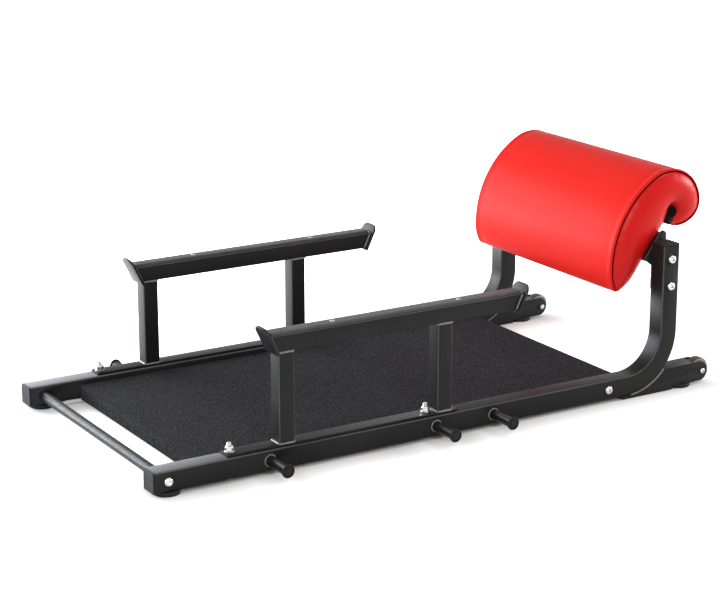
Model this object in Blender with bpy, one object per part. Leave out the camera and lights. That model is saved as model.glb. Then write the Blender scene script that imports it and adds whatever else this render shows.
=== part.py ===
"""Hip thrust bench.

Two bent square-tube rails stand on rubber feet and hold a rubber mat between them. Each rail carries a
barbell rest stand, three band pegs and a transport wheel, and brackets on the uprights carry a roll-top
back pad.

Every size is in metres. Lengths along the bench are measured from the rails' foot end, and heights from
the underside of the rails. The empty named bench moves the whole model so that its origin is on the floor
under its middle. X runs from the foot end to the pad, +Z is up, and -Y is the left side of someone who
leans on the pad.
"""

import math

import bmesh
import bpy
from mathutils import Matrix, Vector

MM = 0.001

# Fits
GAP = 0.3 * MM
HOLE_PLAY = 0.3 * MM
AXLE_PLAY = 0.3 * MM

# Side rails, each one square tube bent up into an upright
RAIL_SIZE = 50 * MM
RAIL_WALL = 3 * MM
RAIL_CORNER = 4 * MM
RAIL_SPACING = 696 * MM
UPRIGHT_X = 1438 * MM
UPRIGHT_TOP = 371 * MM
BEND_RADIUS = 125 * MM
BEND_STEPS = 12

# Plastic caps in the open tube ends
END_CAP_THICKNESS = 4.5 * MM
TOP_CAP_THICKNESS = 4 * MM
CAP_EDGE = 1.5 * MM
PLUG_DEPTH = 12 * MM
PLUG_WALL = 2.5 * MM

# Fasteners: M12 with button heads, and M8 at the wheels
BOLT_DIAMETER = 12 * MM
BOLT_HEAD_DIAMETER = 22 * MM
BOLT_HEAD_HEIGHT = 6.6 * MM
BOLT_SOCKET = 8 * MM
BOLT_SOCKET_DEPTH = 3.6 * MM
HEX_HEAD_WIDTH = 18 * MM
HEX_HEAD_HEIGHT = 6.5 * MM
NUT_WIDTH = 19 * MM
NUT_HEIGHT = 12 * MM
NUT_CROWN_HEIGHT = 3 * MM
NUT_CROWN_TAPER = 1.5 * MM
NUT_COLLAR_INSET = 0.3 * MM
WASHER_DIAMETER = 24 * MM
WASHER_THICKNESS = 2.5 * MM
BOLT_TIP = 8 * MM
BOLT_END = 1 * MM
BOLT_CHAMFER = 1 * MM
HEAD_FLAT_SHARE = 0.5
HEAD_RIM_SHARE = 0.12
AXLE_DIAMETER = 8 * MM
AXLE_HEAD_DIAMETER = 14 * MM
AXLE_HEAD_HEIGHT = 4.4 * MM
AXLE_SOCKET = 5 * MM
AXLE_SOCKET_DEPTH = 2.4 * MM
AXLE_NUT_WIDTH = 13 * MM
AXLE_NUT_HEIGHT = 7 * MM

# Round tube across the foot end, with a threaded bush in each end
CROSS_TUBE_X = 32.5 * MM
CROSS_TUBE_DIAMETER = 25.4 * MM
CROSS_TUBE_WALL = 2.5 * MM
BUSH_LENGTH = 30 * MM
BUSH_SPARE = 5 * MM

# Flat strap under the mat near the uprights
STRAP_SETBACK = 39 * MM
STRAP_WIDTH = 40 * MM
STRAP_THICKNESS = 4 * MM
STRAP_EAR_TOP = 46 * MM

# Ledge on each rail that carries the mat
LEDGE_START = 75 * MM
LEDGE_END_GAP = 6 * MM
LEDGE_WIDTH = 10 * MM
LEDGE_THICKNESS = 4 * MM
LEDGE_LAP = 8 * MM

# Rubber mat
MAT_START = 127.5 * MM
MAT_LENGTH = 1194 * MM
MAT_THICKNESS = 37.7 * MM
MAT_SIDE_GAP = 5 * MM
MAT_EDGE = 4 * MM
MAT_CORNER = 8 * MM

# Rest stands: base bar, two posts and a beam a side
STAND_START = 182 * MM
BASE_BAR_LENGTH = 618 * MM
BASE_BAR_WIDTH = 39 * MM
BASE_BAR_THICKNESS = 6 * MM
BASE_BAR_CORNER = 8 * MM
STAND_BOLT_OFFSETS = (14.7 * MM, 539 * MM)
POST_OFFSETS = (153.5 * MM, 581.4 * MM)
POST_SIZE = 40 * MM
POST_WALL = 2.5 * MM
POST_CORNER = 3 * MM
POST_HEIGHT = 217.5 * MM
BEAM_OFFSET = 458 * MM
BEAM_SIZE = 40 * MM
BEAM_WALL = 2.5 * MM
BEAM_CORNER = 3 * MM
BEAM_LENGTH = 653.2 * MM
BEAM_END_SLOPE = math.radians(26)

# Sloping plates on the ends of a beam, and the strip that the bar rests on
END_PLATE_THICKNESS = 6 * MM
END_PLATE_WIDTH = 60 * MM
END_PLATE_LENGTH = 72 * MM
END_PLATE_DROP = 3 * MM
END_PLATE_CORNER = 20 * MM
WEAR_STRIP_WIDTH = 32 * MM
WEAR_STRIP_THICKNESS = 7 * MM
WEAR_STRIP_END_GAP = 7 * MM
WEAR_STRIP_EDGE = 1.5 * MM

# Band pegs on the rails' outer faces
PEG_OFFSETS = (288.5 * MM, 737.5 * MM, 902 * MM)
PEG_DIAMETER = 25.4 * MM
PEG_WALL = 2.5 * MM
PEG_LENGTH = 79 * MM
PEG_CAP_DIAMETER = 32 * MM
PEG_CAP_THICKNESS = 4 * MM
PEG_CAP_RIM = 3 * MM
PEG_CAP_RECESS = 1.2 * MM
PEG_CAP_EDGE = 1 * MM

# Wheel arms behind the uprights, with a tongue under the bend
ARM_AXLE_REACH = 116 * MM
ARM_END_REACH = 108 * MM
ARM_WALL = 3 * MM
ARM_SLOT_BACK = 24 * MM
TONGUE_START = 148 * MM
TONGUE_END = 19 * MM
TONGUE_DEPTH = 8.5 * MM
TONGUE_TAPER = 8 * MM
TONGUE_NOSE = 3 * MM

# Transport wheels
WHEEL_DIAMETER = 62 * MM
WHEEL_WIDTH = 24 * MM
WHEEL_EDGE = 4 * MM
WHEEL_RECESS = 3 * MM
WHEEL_RECESS_DIAMETER = 42 * MM
WHEEL_HUB_DIAMETER = 18 * MM

# Rubber feet
FOOT_HEIGHT = 10 * MM
FOOT_DIAMETER = 62 * MM
FOOT_EDGE = 2 * MM
FRONT_FOOT_X = 39 * MM
REAR_FOOT_SETBACK = 59 * MM

# Back pad. The top of its flat back is measured from the upright's middle and top. From there its section
# is a chain of tangent arcs, given as radius and the turn that the arc makes: down to the toe, up the
# front, over the roll and round the hook.
PAD_BACK_REACH = 34.3 * MM
PAD_BACK_RISE = 36.7 * MM
PAD_BACK_ANGLE = math.radians(53.7)
PAD_BACK_LENGTH = 151.6 * MM
HEEL_RADIUS = 103.3 * MM
HEEL_TURN = math.radians(34.1)
TOE_RADIUS = 7.6 * MM
TOE_TURN = math.radians(73.5)
BELLY_RADIUS = 91 * MM
BELLY_TURN = math.radians(33.2)
FRONT_RADIUS = 252.4 * MM
FRONT_TURN = math.radians(63.5)
ROLL_RADIUS = 103.3 * MM
ROLL_TURN = math.radians(63.6)
CREST_RADIUS = 96.4 * MM
CREST_TURN = math.radians(46.3)
HOOK_RADIUS = 54.8 * MM
HOOK_TURN = math.radians(66.9)
LIP_RADIUS = 81.5 * MM
LIP_TURN = math.radians(51.6)
NOTCH_RADIUS = 22 * MM
NOTCH_BEHIND = 28.7 * MM
NOTCH_ABOVE = 25.3 * MM
NOTCH_START = math.radians(110)
NOTCH_END = math.radians(-95)
PAD_SIDE_GAP = 14.7 * MM
PAD_EDGE_ROUND = 5 * MM
PAD_SEAM_INSET = 5 * MM
PAD_SEAM_DEPTH = 2.5 * MM
PAD_END_CROWN = 7 * MM
PAD_CROWN_REACH = 40 * MM
PAD_INSET_SHARE = 0.75

# Board let into the back of the pad
BOARD_THICKNESS = 12 * MM
BOARD_SIDE_MARGIN = 12 * MM
BOARD_END_MARGIN = 6 * MM

# Angle brackets that carry the pad
BRACKET_THICKNESS = 4 * MM
BRACKET_FRONT = 18 * MM
BRACKET_TOP_ALONG = 20 * MM
BRACKET_LOW_ALONG = 110 * MM
BRACKET_BOTTOM_MARGIN = 20 * MM
BRACKET_EDGE_MARGIN = 3.5 * MM
BRACKET_CORNER = 8 * MM
FLANGE_WIDTH = 50 * MM
FLANGE_LENGTH = 84 * MM
BRACKET_BOLT_DROPS = (104.3 * MM, 34.7 * MM)

# Facets of round pieces
ROUND_STEPS = 20
BOLT_STEPS = 14
CORNER_STEPS = 2
END_PLATE_STEPS = 6
HEAD_STEPS = 4
COPE_STEPS = 8
ARM_END_STEPS = 12
PAD_FACET_SAG = 0.25 * MM
NOTCH_STEPS = 9
NOSE_STEPS = 5
PAD_EDGE_STEPS = 2
MAT_EDGE_STEPS = 3
PAD_CROWN_SHARES = (0.35, 0.75, 1.0)

# Places that follow from the sizes
RAIL_MIDDLE = RAIL_SIZE / 2
RAIL_OUTER = RAIL_SPACING / 2 + RAIL_SIZE / 2
RAIL_INNER = RAIL_SPACING / 2 - RAIL_SIZE / 2
BEND_START_X = UPRIGHT_X - BEND_RADIUS
BEND_CENTRE_Z = RAIL_MIDDLE + BEND_RADIUS
AXLE_X = UPRIGHT_X + ARM_AXLE_REACH
STRAP_X = UPRIGHT_X - TONGUE_START - STRAP_SETBACK
LEDGE_END = STRAP_X - STRAP_WIDTH / 2 - LEDGE_END_GAP
PAD_WIDTH = 2 * (RAIL_INNER - GAP - BRACKET_THICKNESS - PAD_SIDE_GAP - PAD_END_CROWN)
BOARD_WIDTH = PAD_WIDTH - 2 * BOARD_SIDE_MARGIN
PAD_BACK_TOP = (UPRIGHT_X + PAD_BACK_REACH, UPRIGHT_TOP + PAD_BACK_RISE)
BRACKET_BOLT_HEIGHTS = [UPRIGHT_TOP - drop for drop in BRACKET_BOLT_DROPS]
BOLT_HOLE_RADIUS = BOLT_DIAMETER / 2 + HOLE_PLAY
AXLE_HOLE_RADIUS = AXLE_DIAMETER / 2 + AXLE_PLAY
BASE_BAR_TOP = RAIL_SIZE + BASE_BAR_THICKNESS
BEAM_BOTTOM = BASE_BAR_TOP + POST_HEIGHT
BEAM_TOP = BEAM_BOTTOM + BEAM_SIZE
BEAM_X = STAND_START + BEAM_OFFSET
SIDES = (("left", -1), ("right", 1))
FACING_FOOT_END = (0, -math.pi / 2, 0)


# Scene, materials and objects

def clear_scene():
    """Removes every object of the open scene."""
    for old in list(bpy.data.objects):
        bpy.data.objects.remove(old, do_unlink=True)


def make_material(name, colour, roughness, metallic=0.0):
    """A Principled material with one colour."""
    material = bpy.data.materials.new(name)
    material.use_nodes = True
    shader = material.node_tree.nodes["Principled BSDF"]
    shader.inputs["Base Color"].default_value = (*colour, 1.0)
    shader.inputs["Roughness"].default_value = roughness
    shader.inputs["Metallic"].default_value = metallic
    material.diffuse_color = (*colour, 1.0)
    return material


def make_materials():
    """The bench's materials by name."""
    return {
        "frame": make_material("frame_powder_coat", (0.035, 0.035, 0.036), 0.45, 0.2),
        "plastic": make_material("black_plastic", (0.02, 0.02, 0.02), 0.4),
        "strip": make_material("wear_strip_plastic", (0.05, 0.05, 0.052), 0.5),
        "steel": make_material("bright_steel", (0.7, 0.7, 0.68), 0.25, 1.0),
        "mat": make_material("mat_rubber", (0.03, 0.03, 0.032), 0.85),
        "rubber": make_material("foot_rubber", (0.02, 0.02, 0.02), 0.7),
        "wheel": make_material("wheel_tyre", (0.03, 0.025, 0.022), 0.5),
        "cushion": make_material("red_vinyl", (0.8, 0.05, 0.03), 0.35),
        "board": make_material("black_board", (0.02, 0.02, 0.02), 0.6),
    }


def place(name, mesh, material, location=(0, 0, 0), rotation=(0, 0, 0)):
    """Adds an object with this mesh under the bench's empty."""
    if not mesh.materials:
        mesh.materials.append(material)
    item = bpy.data.objects.new(name, mesh)
    bpy.context.collection.objects.link(item)
    item.location = location
    item.rotation_euler = rotation
    item.parent = bpy.data.objects["bench"]
    return item


def add_bench_empty(low_x, high_x):
    """The empty that stands the model on the floor with its middle at the origin."""
    bench = bpy.data.objects.new("bench", None)
    bpy.context.collection.objects.link(bench)
    bench.location = (-(low_x + high_x) / 2, 0, FOOT_HEIGHT)


# Shapes

def finish_mesh(shape, name, smooth=True):
    """Turns a bmesh into a mesh that faces outward."""
    bmesh.ops.recalc_face_normals(shape, faces=shape.faces)
    mesh = bpy.data.meshes.new(name)
    shape.to_mesh(mesh)
    shape.free()
    if smooth:
        shade(mesh)
    return mesh


def shade(mesh):
    """Smooth shading with sharp corners."""
    mesh.shade_smooth()
    mesh.set_sharp_from_angle(angle=math.radians(35))


def bridge(shape, first, second):
    """Joins two rings of vertices, point by point, with four-sided faces."""
    for index, corner in enumerate(first):
        after = (index + 1) % len(first)
        shape.faces.new((corner, first[after], second[after], second[index]))


def ring(shape, points):
    """New vertices at the points."""
    return [shape.verts.new(point) for point in points]


def arc(centre, radius, start, end, steps):
    """Points along an arc in a plane, both ends included."""
    turn = (end - start) / steps
    angles = [start + turn * step for step in range(steps + 1)]
    return [(centre[0] + radius * math.cos(a), centre[1] + radius * math.sin(a)) for a in angles]


def rounded_rectangle(width, height, corner, steps=CORNER_STEPS):
    """Outline of a rectangle about the origin with round corners."""
    points = []
    quarter = math.pi / 2
    for index, (across, up) in enumerate(((1, 1), (-1, 1), (-1, -1), (1, -1))):
        centre = (across * (width / 2 - corner), up * (height / 2 - corner))
        points += arc(centre, corner, index * quarter, (index + 1) * quarter, steps)
    return points


def prism(name, outline, low, high, to_world, smooth=True):
    """A flat outline made solid between two levels. to_world turns (u, v, level) into a point."""
    shape = bmesh.new()
    bottom = ring(shape, [to_world(u, v, low) for u, v in outline])
    top = ring(shape, [to_world(u, v, high) for u, v in outline])
    bridge(shape, bottom, top)
    shape.faces.new(bottom)
    shape.faces.new(top)
    return finish_mesh(shape, name, smooth)


def box(name, low, high):
    """A box between two corners."""
    outline = [(low[0], low[1]), (high[0], low[1]), (high[0], high[1]), (low[0], high[1])]
    return prism(name, outline, low[2], high[2], upright_axes, smooth=False)


def upright_axes(u, v, level):
    """An outline seen from above, solid upward."""
    return (u, v, level)


def side_axes(u, v, level):
    """An outline seen from the side, solid across the bench."""
    return (u, level, v)


def turned(name, profile, steps=ROUND_STEPS):
    """A closed profile of (radius, height) points turned about Z. Points on the axis close the ends."""
    shape = bmesh.new()
    rings = []
    for radius, height in profile:
        if radius == 0:
            rings.append([shape.verts.new((0, 0, height))])
            continue
        angles = [2 * math.pi * step / steps for step in range(steps)]
        rings.append(ring(shape, [(radius * math.cos(a), radius * math.sin(a), height) for a in angles]))
    for first, second in zip(rings, rings[1:] + rings[:1]):
        join_turned(shape, first, second)
    return finish_mesh(shape, name)


def join_turned(shape, first, second):
    """Joins two rings of a turned piece, either of which may be a point on the axis."""
    if len(first) == 1 and len(second) == 1:
        return
    if len(first) > 1 and len(second) > 1:
        bridge(shape, first, second)
        return
    tip, base = (first[0], second) if len(first) == 1 else (second[0], first)
    for index, corner in enumerate(base):
        shape.faces.new((tip, corner, base[(index + 1) % len(base)]))


def square_tube(name, stations, size, wall, corner):
    """An open square tube. Each station turns (across, up) of the section into a point."""
    outer = rounded_rectangle(size, size, corner)
    inner_size = size - 2 * wall
    inner = rounded_rectangle(inner_size, inner_size, max(corner - wall, corner / 3))
    shape = bmesh.new()
    outer_rings = [ring(shape, [station(a, b) for a, b in outer]) for station in stations]
    inner_rings = [ring(shape, [station(a, b) for a, b in inner]) for station in stations]
    for rings in (outer_rings, inner_rings):
        for first, second in zip(rings, rings[1:]):
            bridge(shape, first, second)
    for end in (0, -1):
        bridge(shape, outer_rings[end], inner_rings[end])
    return finish_mesh(shape, name)


def bolt_cutter(centre, direction, length, radius):
    """A round cutter through a point, centred along its direction."""
    mesh = turned("cutter", [(0, -length / 2), (radius, -length / 2), (radius, length / 2), (0, length / 2)],
                  BOLT_STEPS)
    spin = Vector((0, 0, 1)).rotation_difference(Vector(direction)).to_matrix().to_4x4()
    mesh.transform(Matrix.Translation(centre) @ spin)
    return mesh


def combined(mesh, others, operation="DIFFERENCE"):
    """The mesh after an exact Boolean with each of the others."""
    name = mesh.name
    target = bpy.data.objects.new(name, mesh)
    bpy.context.collection.objects.link(target)
    tools = []
    for other in others:
        tool = bpy.data.objects.new("tool", other)
        bpy.context.collection.objects.link(tool)
        tools.append(tool)
        modifier = target.modifiers.new("combine", "BOOLEAN")
        modifier.operation = operation
        modifier.solver = "EXACT"
        modifier.object = tool
    graph = bpy.context.evaluated_depsgraph_get()
    result = bpy.data.meshes.new_from_object(target.evaluated_get(graph))
    for used in [target] + tools:
        bpy.data.objects.remove(used, do_unlink=True)
    result.name = name
    shade(result)
    return result


# Rails

def rail_station(x, z, angle, middle_y=0.0):
    """Maps a tube section onto a place of the rail's path, which heads along the angle."""
    def station(across, up):
        return (x - math.sin(angle) * up, middle_y + across, z + math.cos(angle) * up)
    return station


def rail_stations():
    """The rail's path: straight along the floor, round the bend and up."""
    stations = [rail_station(0, RAIL_MIDDLE, 0)]
    for step in range(BEND_STEPS + 1):
        angle = math.pi / 2 * step / BEND_STEPS
        x = BEND_START_X + BEND_RADIUS * math.sin(angle)
        z = BEND_CENTRE_Z - BEND_RADIUS * math.cos(angle)
        stations.append(rail_station(x, z, angle))
    stations.append(rail_station(UPRIGHT_X, UPRIGHT_TOP, math.pi / 2))
    return stations


def ledge_mesh(side):
    """The mat's ledge, lapped into the rail's lower wall."""
    inner = -side * RAIL_SIZE / 2
    lap_top = RAIL_WALL / 2
    outline = [
        (inner - side * LEDGE_WIDTH, -LEDGE_THICKNESS),
        (inner + side * LEDGE_LAP, -LEDGE_THICKNESS),
        (inner + side * LEDGE_LAP, lap_top),
        (inner + side * RAIL_CORNER, lap_top),
        (inner + side * RAIL_CORNER / 2, 0),
        (inner - side * LEDGE_WIDTH, 0),
    ]
    return prism("ledge", outline, LEDGE_START, LEDGE_END, lambda y, z, x: (x, y, z), smooth=False)


def rail_cutters():
    """The bolt holes of one rail, about the rail's own middle."""
    across = 2 * RAIL_SIZE
    places = [((CROSS_TUBE_X, 0, RAIL_MIDDLE), (0, 1, 0)), ((STRAP_X, 0, RAIL_MIDDLE), (0, 1, 0))]
    places += [((UPRIGHT_X, 0, height), (0, 1, 0)) for height in BRACKET_BOLT_HEIGHTS]
    places += [((STAND_START + offset, 0, RAIL_MIDDLE), (0, 0, 1)) for offset in STAND_BOLT_OFFSETS]
    return [bolt_cutter(centre, direction, across, BOLT_HOLE_RADIUS) for centre, direction in places]


def add_rails(materials):
    """Both side rails with their ledges and holes."""
    for word, side in SIDES:
        tube = square_tube("side_rail_" + word, rail_stations(), RAIL_SIZE, RAIL_WALL, RAIL_CORNER)
        whole = combined(tube, [ledge_mesh(side)], "UNION")
        drilled = combined(whole, rail_cutters())
        place("side_rail_" + word, drilled, materials["frame"], (0, side * RAIL_SPACING / 2, 0))


def cap_mesh(name, thickness):
    """A tube cap: a flat plate with a soft rim, and a hollow plug below it."""
    plug = RAIL_SIZE - 2 * RAIL_WALL - 2 * GAP
    inside = plug - 2 * PLUG_WALL
    levels = [
        (RAIL_SIZE, GAP, RAIL_CORNER),
        (RAIL_SIZE, thickness - CAP_EDGE, RAIL_CORNER),
        (RAIL_SIZE - 2 * CAP_EDGE, thickness, RAIL_CORNER),
    ]
    under = [
        (plug, GAP, RAIL_CORNER / 2),
        (plug, -PLUG_DEPTH, RAIL_CORNER / 2),
        (inside, -PLUG_DEPTH, RAIL_CORNER / 2),
        (inside, GAP, RAIL_CORNER / 2),
    ]
    shape = bmesh.new()
    rings = []
    for width, height, corner in levels[::-1] + under:
        outline = rounded_rectangle(width, width, corner)
        rings.append(ring(shape, [(a, b, height) for a, b in outline]))
    for first, second in zip(rings, rings[1:]):
        bridge(shape, first, second)
    shape.faces.new(rings[0])
    shape.faces.new(rings[-1])
    return finish_mesh(shape, name)


def add_caps(materials):
    """A cap in the foot end and in the top of each rail."""
    end_cap = cap_mesh("rail_end_cap", END_CAP_THICKNESS)
    top_cap = cap_mesh("upright_cap", TOP_CAP_THICKNESS)
    for word, side in SIDES:
        middle = side * RAIL_SPACING / 2
        mouth = (0, middle, RAIL_MIDDLE)
        place("rail_end_cap_" + word, end_cap, materials["plastic"], mouth, FACING_FOOT_END)
        place("upright_cap_" + word, top_cap, materials["plastic"], (UPRIGHT_X, middle, UPRIGHT_TOP))


# Fasteners

def hexagon(width):
    """Outline of a hexagon that measures this width across its flats."""
    radius = width / 2 / math.cos(math.pi / 6)
    return arc((0, 0), radius, 0, 2 * math.pi * 5 / 6, 5)


def button_head(radius, height, shaft_radius):
    """Profile of a domed head that stands on Z = 0, from its top down to the shaft."""
    flat = radius * HEAD_FLAT_SHARE
    rim = height * HEAD_RIM_SHARE
    dome = []
    for step in range(HEAD_STEPS + 1):
        angle = math.pi / 2 * step / HEAD_STEPS
        dome.append((flat + (radius - flat) * math.sin(angle), rim + (height - rim) * math.cos(angle)))
    return [(0, height)] + dome + [(radius, GAP), (shaft_radius, GAP)]


def button_bolt(name, diameter, head, socket, length, nut=None):
    """A button-head bolt along -Z whose head seats on Z = 0. head and socket are (width, height) pairs.

    nut, if given, is (width, height, level) of a lock nut that is one piece with the shaft.
    """
    radius = diameter / 2
    profile = button_head(head[0] / 2, head[1], radius) + [(radius, -length), (0, -length)]
    mesh = turned(name, profile, BOLT_STEPS)
    well = prism("socket", hexagon(socket[0]), head[1] - socket[1], 2 * head[1], upright_axes, smooth=False)
    mesh = combined(mesh, [well])
    if nut is None:
        return mesh
    width, height, level = nut
    block = prism("nut", hexagon(width), level - height, level, upright_axes, smooth=False)
    return combined(mesh, [block], "UNION")


def frame_bolt(name, length, nut=None):
    """An M12 button-head bolt."""
    head = (BOLT_HEAD_DIAMETER, BOLT_HEAD_HEIGHT)
    return button_bolt(name, BOLT_DIAMETER, head, (BOLT_SOCKET, BOLT_SOCKET_DEPTH), length, nut)


def facing_out(side):
    """The turn that points a piece's Z away from the bench on this side."""
    return (-side * math.pi / 2, 0, 0)


def add_side_bolts(materials, name, mesh, x, z):
    """The same bolt through both rails, with its head on the outer face."""
    for word, side in SIDES:
        place(name + "_" + word, mesh, materials["steel"], (x, side * RAIL_OUTER, z), facing_out(side))


def add_frame_bolts(materials):
    """Bolts of the foot tube, the strap and the pad's brackets."""
    foot_bolt = frame_bolt("foot_cross_bolt", RAIL_SIZE + BUSH_LENGTH - BUSH_SPARE)
    add_side_bolts(materials, "foot_cross_bolt", foot_bolt, CROSS_TUBE_X, RAIL_MIDDLE)
    strap_bolt = frame_bolt("head_cross_bolt", RAIL_SIZE + STRAP_THICKNESS)
    add_side_bolts(materials, "head_cross_bolt", strap_bolt, STRAP_X, RAIL_MIDDLE)
    nut_seat = RAIL_SIZE + GAP + BRACKET_THICKNESS + GAP
    nut = (NUT_WIDTH, NUT_HEIGHT, -nut_seat)
    bracket_bolt = frame_bolt("bracket_bolt", nut_seat + NUT_HEIGHT + BOLT_END, nut)
    for level, height in zip(("lower", "upper"), BRACKET_BOLT_HEIGHTS):
        add_side_bolts(materials, "bracket_bolt_" + level, bracket_bolt, UPRIGHT_X, height)


def stand_bolt_mesh():
    """A hex-head bolt that comes up through the rail, its head under Z = 0."""
    outline = hexagon(HEX_HEAD_WIDTH)
    head = prism("stand_bolt", outline, -GAP - HEX_HEAD_HEIGHT, -GAP, upright_axes, smooth=False)
    top = BASE_BAR_TOP + WASHER_THICKNESS + NUT_HEIGHT + BOLT_TIP
    radius = BOLT_DIAMETER / 2
    low = -GAP - HEX_HEAD_HEIGHT / 2
    tip = [(radius, top - BOLT_CHAMFER), (radius - BOLT_CHAMFER, top), (0, top)]
    shaft = turned("shaft", [(0, low), (radius, low)] + tip, BOLT_STEPS)
    return combined(head, [shaft], "UNION")


def stand_nut_mesh():
    """A washer and a lock nut as one piece, with a clear bore."""
    collar = NUT_WIDTH / 2 - NUT_COLLAR_INSET
    nut_low = GAP + WASHER_THICKNESS
    nut_top = nut_low + NUT_HEIGHT
    crown = nut_top - NUT_CROWN_HEIGHT
    washer = turned("stand_nut", [
        (0, GAP), (WASHER_DIAMETER / 2, GAP), (WASHER_DIAMETER / 2, nut_low), (collar, nut_low),
        (collar, crown), (collar - NUT_CROWN_TAPER, nut_top), (0, nut_top)], BOLT_STEPS)
    flats_low, flats_top = nut_low - WASHER_THICKNESS / 2, crown - NUT_CROWN_TAPER
    block = prism("nut", hexagon(NUT_WIDTH), flats_low, flats_top, upright_axes, smooth=False)
    hole = bolt_cutter((0, 0, 0), (0, 0, 1), 4 * NUT_HEIGHT, BOLT_HOLE_RADIUS)
    return combined(combined(washer, [block], "UNION"), [hole])


def add_stand_bolts(materials):
    """Two bolts with nuts in each stand's base bar."""
    bolt = stand_bolt_mesh()
    nut = stand_nut_mesh()
    for word, side in SIDES:
        for where, offset in zip(("front", "rear"), STAND_BOLT_OFFSETS):
            spot = (STAND_START + offset, side * RAIL_SPACING / 2)
            place(f"stand_bolt_{where}_{word}", bolt, materials["steel"], (*spot, 0))
            place(f"stand_nut_{where}_{word}", nut, materials["steel"], (*spot, BASE_BAR_TOP))


# Cross members and mat

def add_foot_cross_tube(materials):
    """The round tube between the rails' foot ends."""
    half = RAIL_INNER - GAP
    radius = CROSS_TUBE_DIAMETER / 2
    bore = radius - CROSS_TUBE_WALL
    bush = half - BUSH_LENGTH
    profile = [
        (BOLT_HOLE_RADIUS, -half), (radius, -half), (radius, half), (BOLT_HOLE_RADIUS, half),
        (BOLT_HOLE_RADIUS, bush), (bore, bush), (bore, -bush), (BOLT_HOLE_RADIUS, -bush)]
    place("foot_cross_tube", turned("foot_cross_tube", profile), materials["frame"],
          (CROSS_TUBE_X, 0, RAIL_MIDDLE), (math.pi / 2, 0, 0))


def add_head_cross_strap(materials):
    """A flat strap under the mat, its ends turned up between mat and rails and bolted."""
    outer = RAIL_INNER - GAP
    inner = outer - STRAP_THICKNESS
    outline = [
        (-outer, -STRAP_THICKNESS), (outer, -STRAP_THICKNESS), (outer, STRAP_EAR_TOP), (inner, STRAP_EAR_TOP),
        (inner, -GAP), (-inner, -GAP), (-inner, STRAP_EAR_TOP), (-outer, STRAP_EAR_TOP)]
    strap = prism("head_cross_strap", outline, STRAP_X - STRAP_WIDTH / 2, STRAP_X + STRAP_WIDTH / 2,
                  lambda y, z, x: (x, y, z), smooth=False)
    hole = bolt_cutter((STRAP_X, 0, RAIL_MIDDLE), (0, 1, 0), 3 * RAIL_SPACING, BOLT_HOLE_RADIUS)
    place("head_cross_strap", combined(strap, [hole]), materials["frame"])


def add_mat(materials):
    """The rubber mat with softened top edges."""
    half_width = RAIL_INNER - MAT_SIDE_GAP
    middle = MAT_START + MAT_LENGTH / 2
    levels = [(0, GAP)]
    for step in range(MAT_EDGE_STEPS + 1):
        angle = math.pi / 2 * step / MAT_EDGE_STEPS
        levels.append((MAT_EDGE * (1 - math.cos(angle)), MAT_THICKNESS - MAT_EDGE * (1 - math.sin(angle))))
    shape = bmesh.new()
    rings = []
    for inset, height in levels:
        outline = rounded_rectangle(MAT_LENGTH - 2 * inset, 2 * (half_width - inset), MAT_CORNER - inset)
        rings.append(ring(shape, [(middle + a, b, height) for a, b in outline]))
    for first, second in zip(rings, rings[1:]):
        bridge(shape, first, second)
    shape.faces.new(rings[0])
    shape.faces.new(rings[-1])
    place("floor_mat", finish_mesh(shape, "floor_mat"), materials["mat"])


# Rest stands

def base_bar_mesh():
    """The flat bar on the rail, from its foot end at X = 0, with its two bolt holes."""
    outline = [(BASE_BAR_LENGTH / 2 + u, v)
               for u, v in rounded_rectangle(BASE_BAR_LENGTH, BASE_BAR_WIDTH, BASE_BAR_CORNER)]
    bar = prism("stand_base_bar", outline, GAP, BASE_BAR_THICKNESS, upright_axes)
    places = [(offset, 0, 0) for offset in STAND_BOLT_OFFSETS]
    return combined(bar, [bolt_cutter(spot, (0, 0, 1), RAIL_SIZE, BOLT_HOLE_RADIUS) for spot in places])


def post_mesh():
    """A square post, upright on Z = 0."""
    stations = [lambda a, b: (a, b, GAP), lambda a, b: (a, b, POST_HEIGHT)]
    return square_tube("stand_post", stations, POST_SIZE, POST_WALL, POST_CORNER)


def beam_end_x(height):
    """Half the beam's length at a height above its underside."""
    return BEAM_LENGTH / 2 + height * math.tan(BEAM_END_SLOPE)


def beam_mesh():
    """The rest beam about X = 0 with its underside on Z = 0 and its ends cut sloping out."""
    def station(end):
        return lambda a, b: (end * beam_end_x(BEAM_SIZE / 2 + b), a, BEAM_SIZE / 2 + b)
    return square_tube("rest_beam", [station(-1), station(1)], BEAM_SIZE, BEAM_WALL, BEAM_CORNER)


def end_plate_outline():
    """The plate's outline, with round upper corners, from its lower edge up."""
    half = END_PLATE_WIDTH / 2
    low = -END_PLATE_DROP / math.cos(BEAM_END_SLOPE)
    high = low + END_PLATE_LENGTH
    across, up = half - END_PLATE_CORNER, high - END_PLATE_CORNER
    points = [(-half, low), (half, low)]
    points += arc((across, up), END_PLATE_CORNER, 0, math.pi / 2, END_PLATE_STEPS)
    points += arc((-across, up), END_PLATE_CORNER, math.pi / 2, math.pi, END_PLATE_STEPS)
    return points


def end_plate_mesh():
    """The sloping plate on the beam's +X end, in the beam's own frame."""
    sine, cosine = math.sin(BEAM_END_SLOPE), math.cos(BEAM_END_SLOPE)

    def to_world(across, along, level):
        return (BEAM_LENGTH / 2 + along * sine + level * cosine, across, along * cosine - level * sine)

    return prism("beam_end_plate", end_plate_outline(), GAP, GAP + END_PLATE_THICKNESS, to_world)


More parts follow.
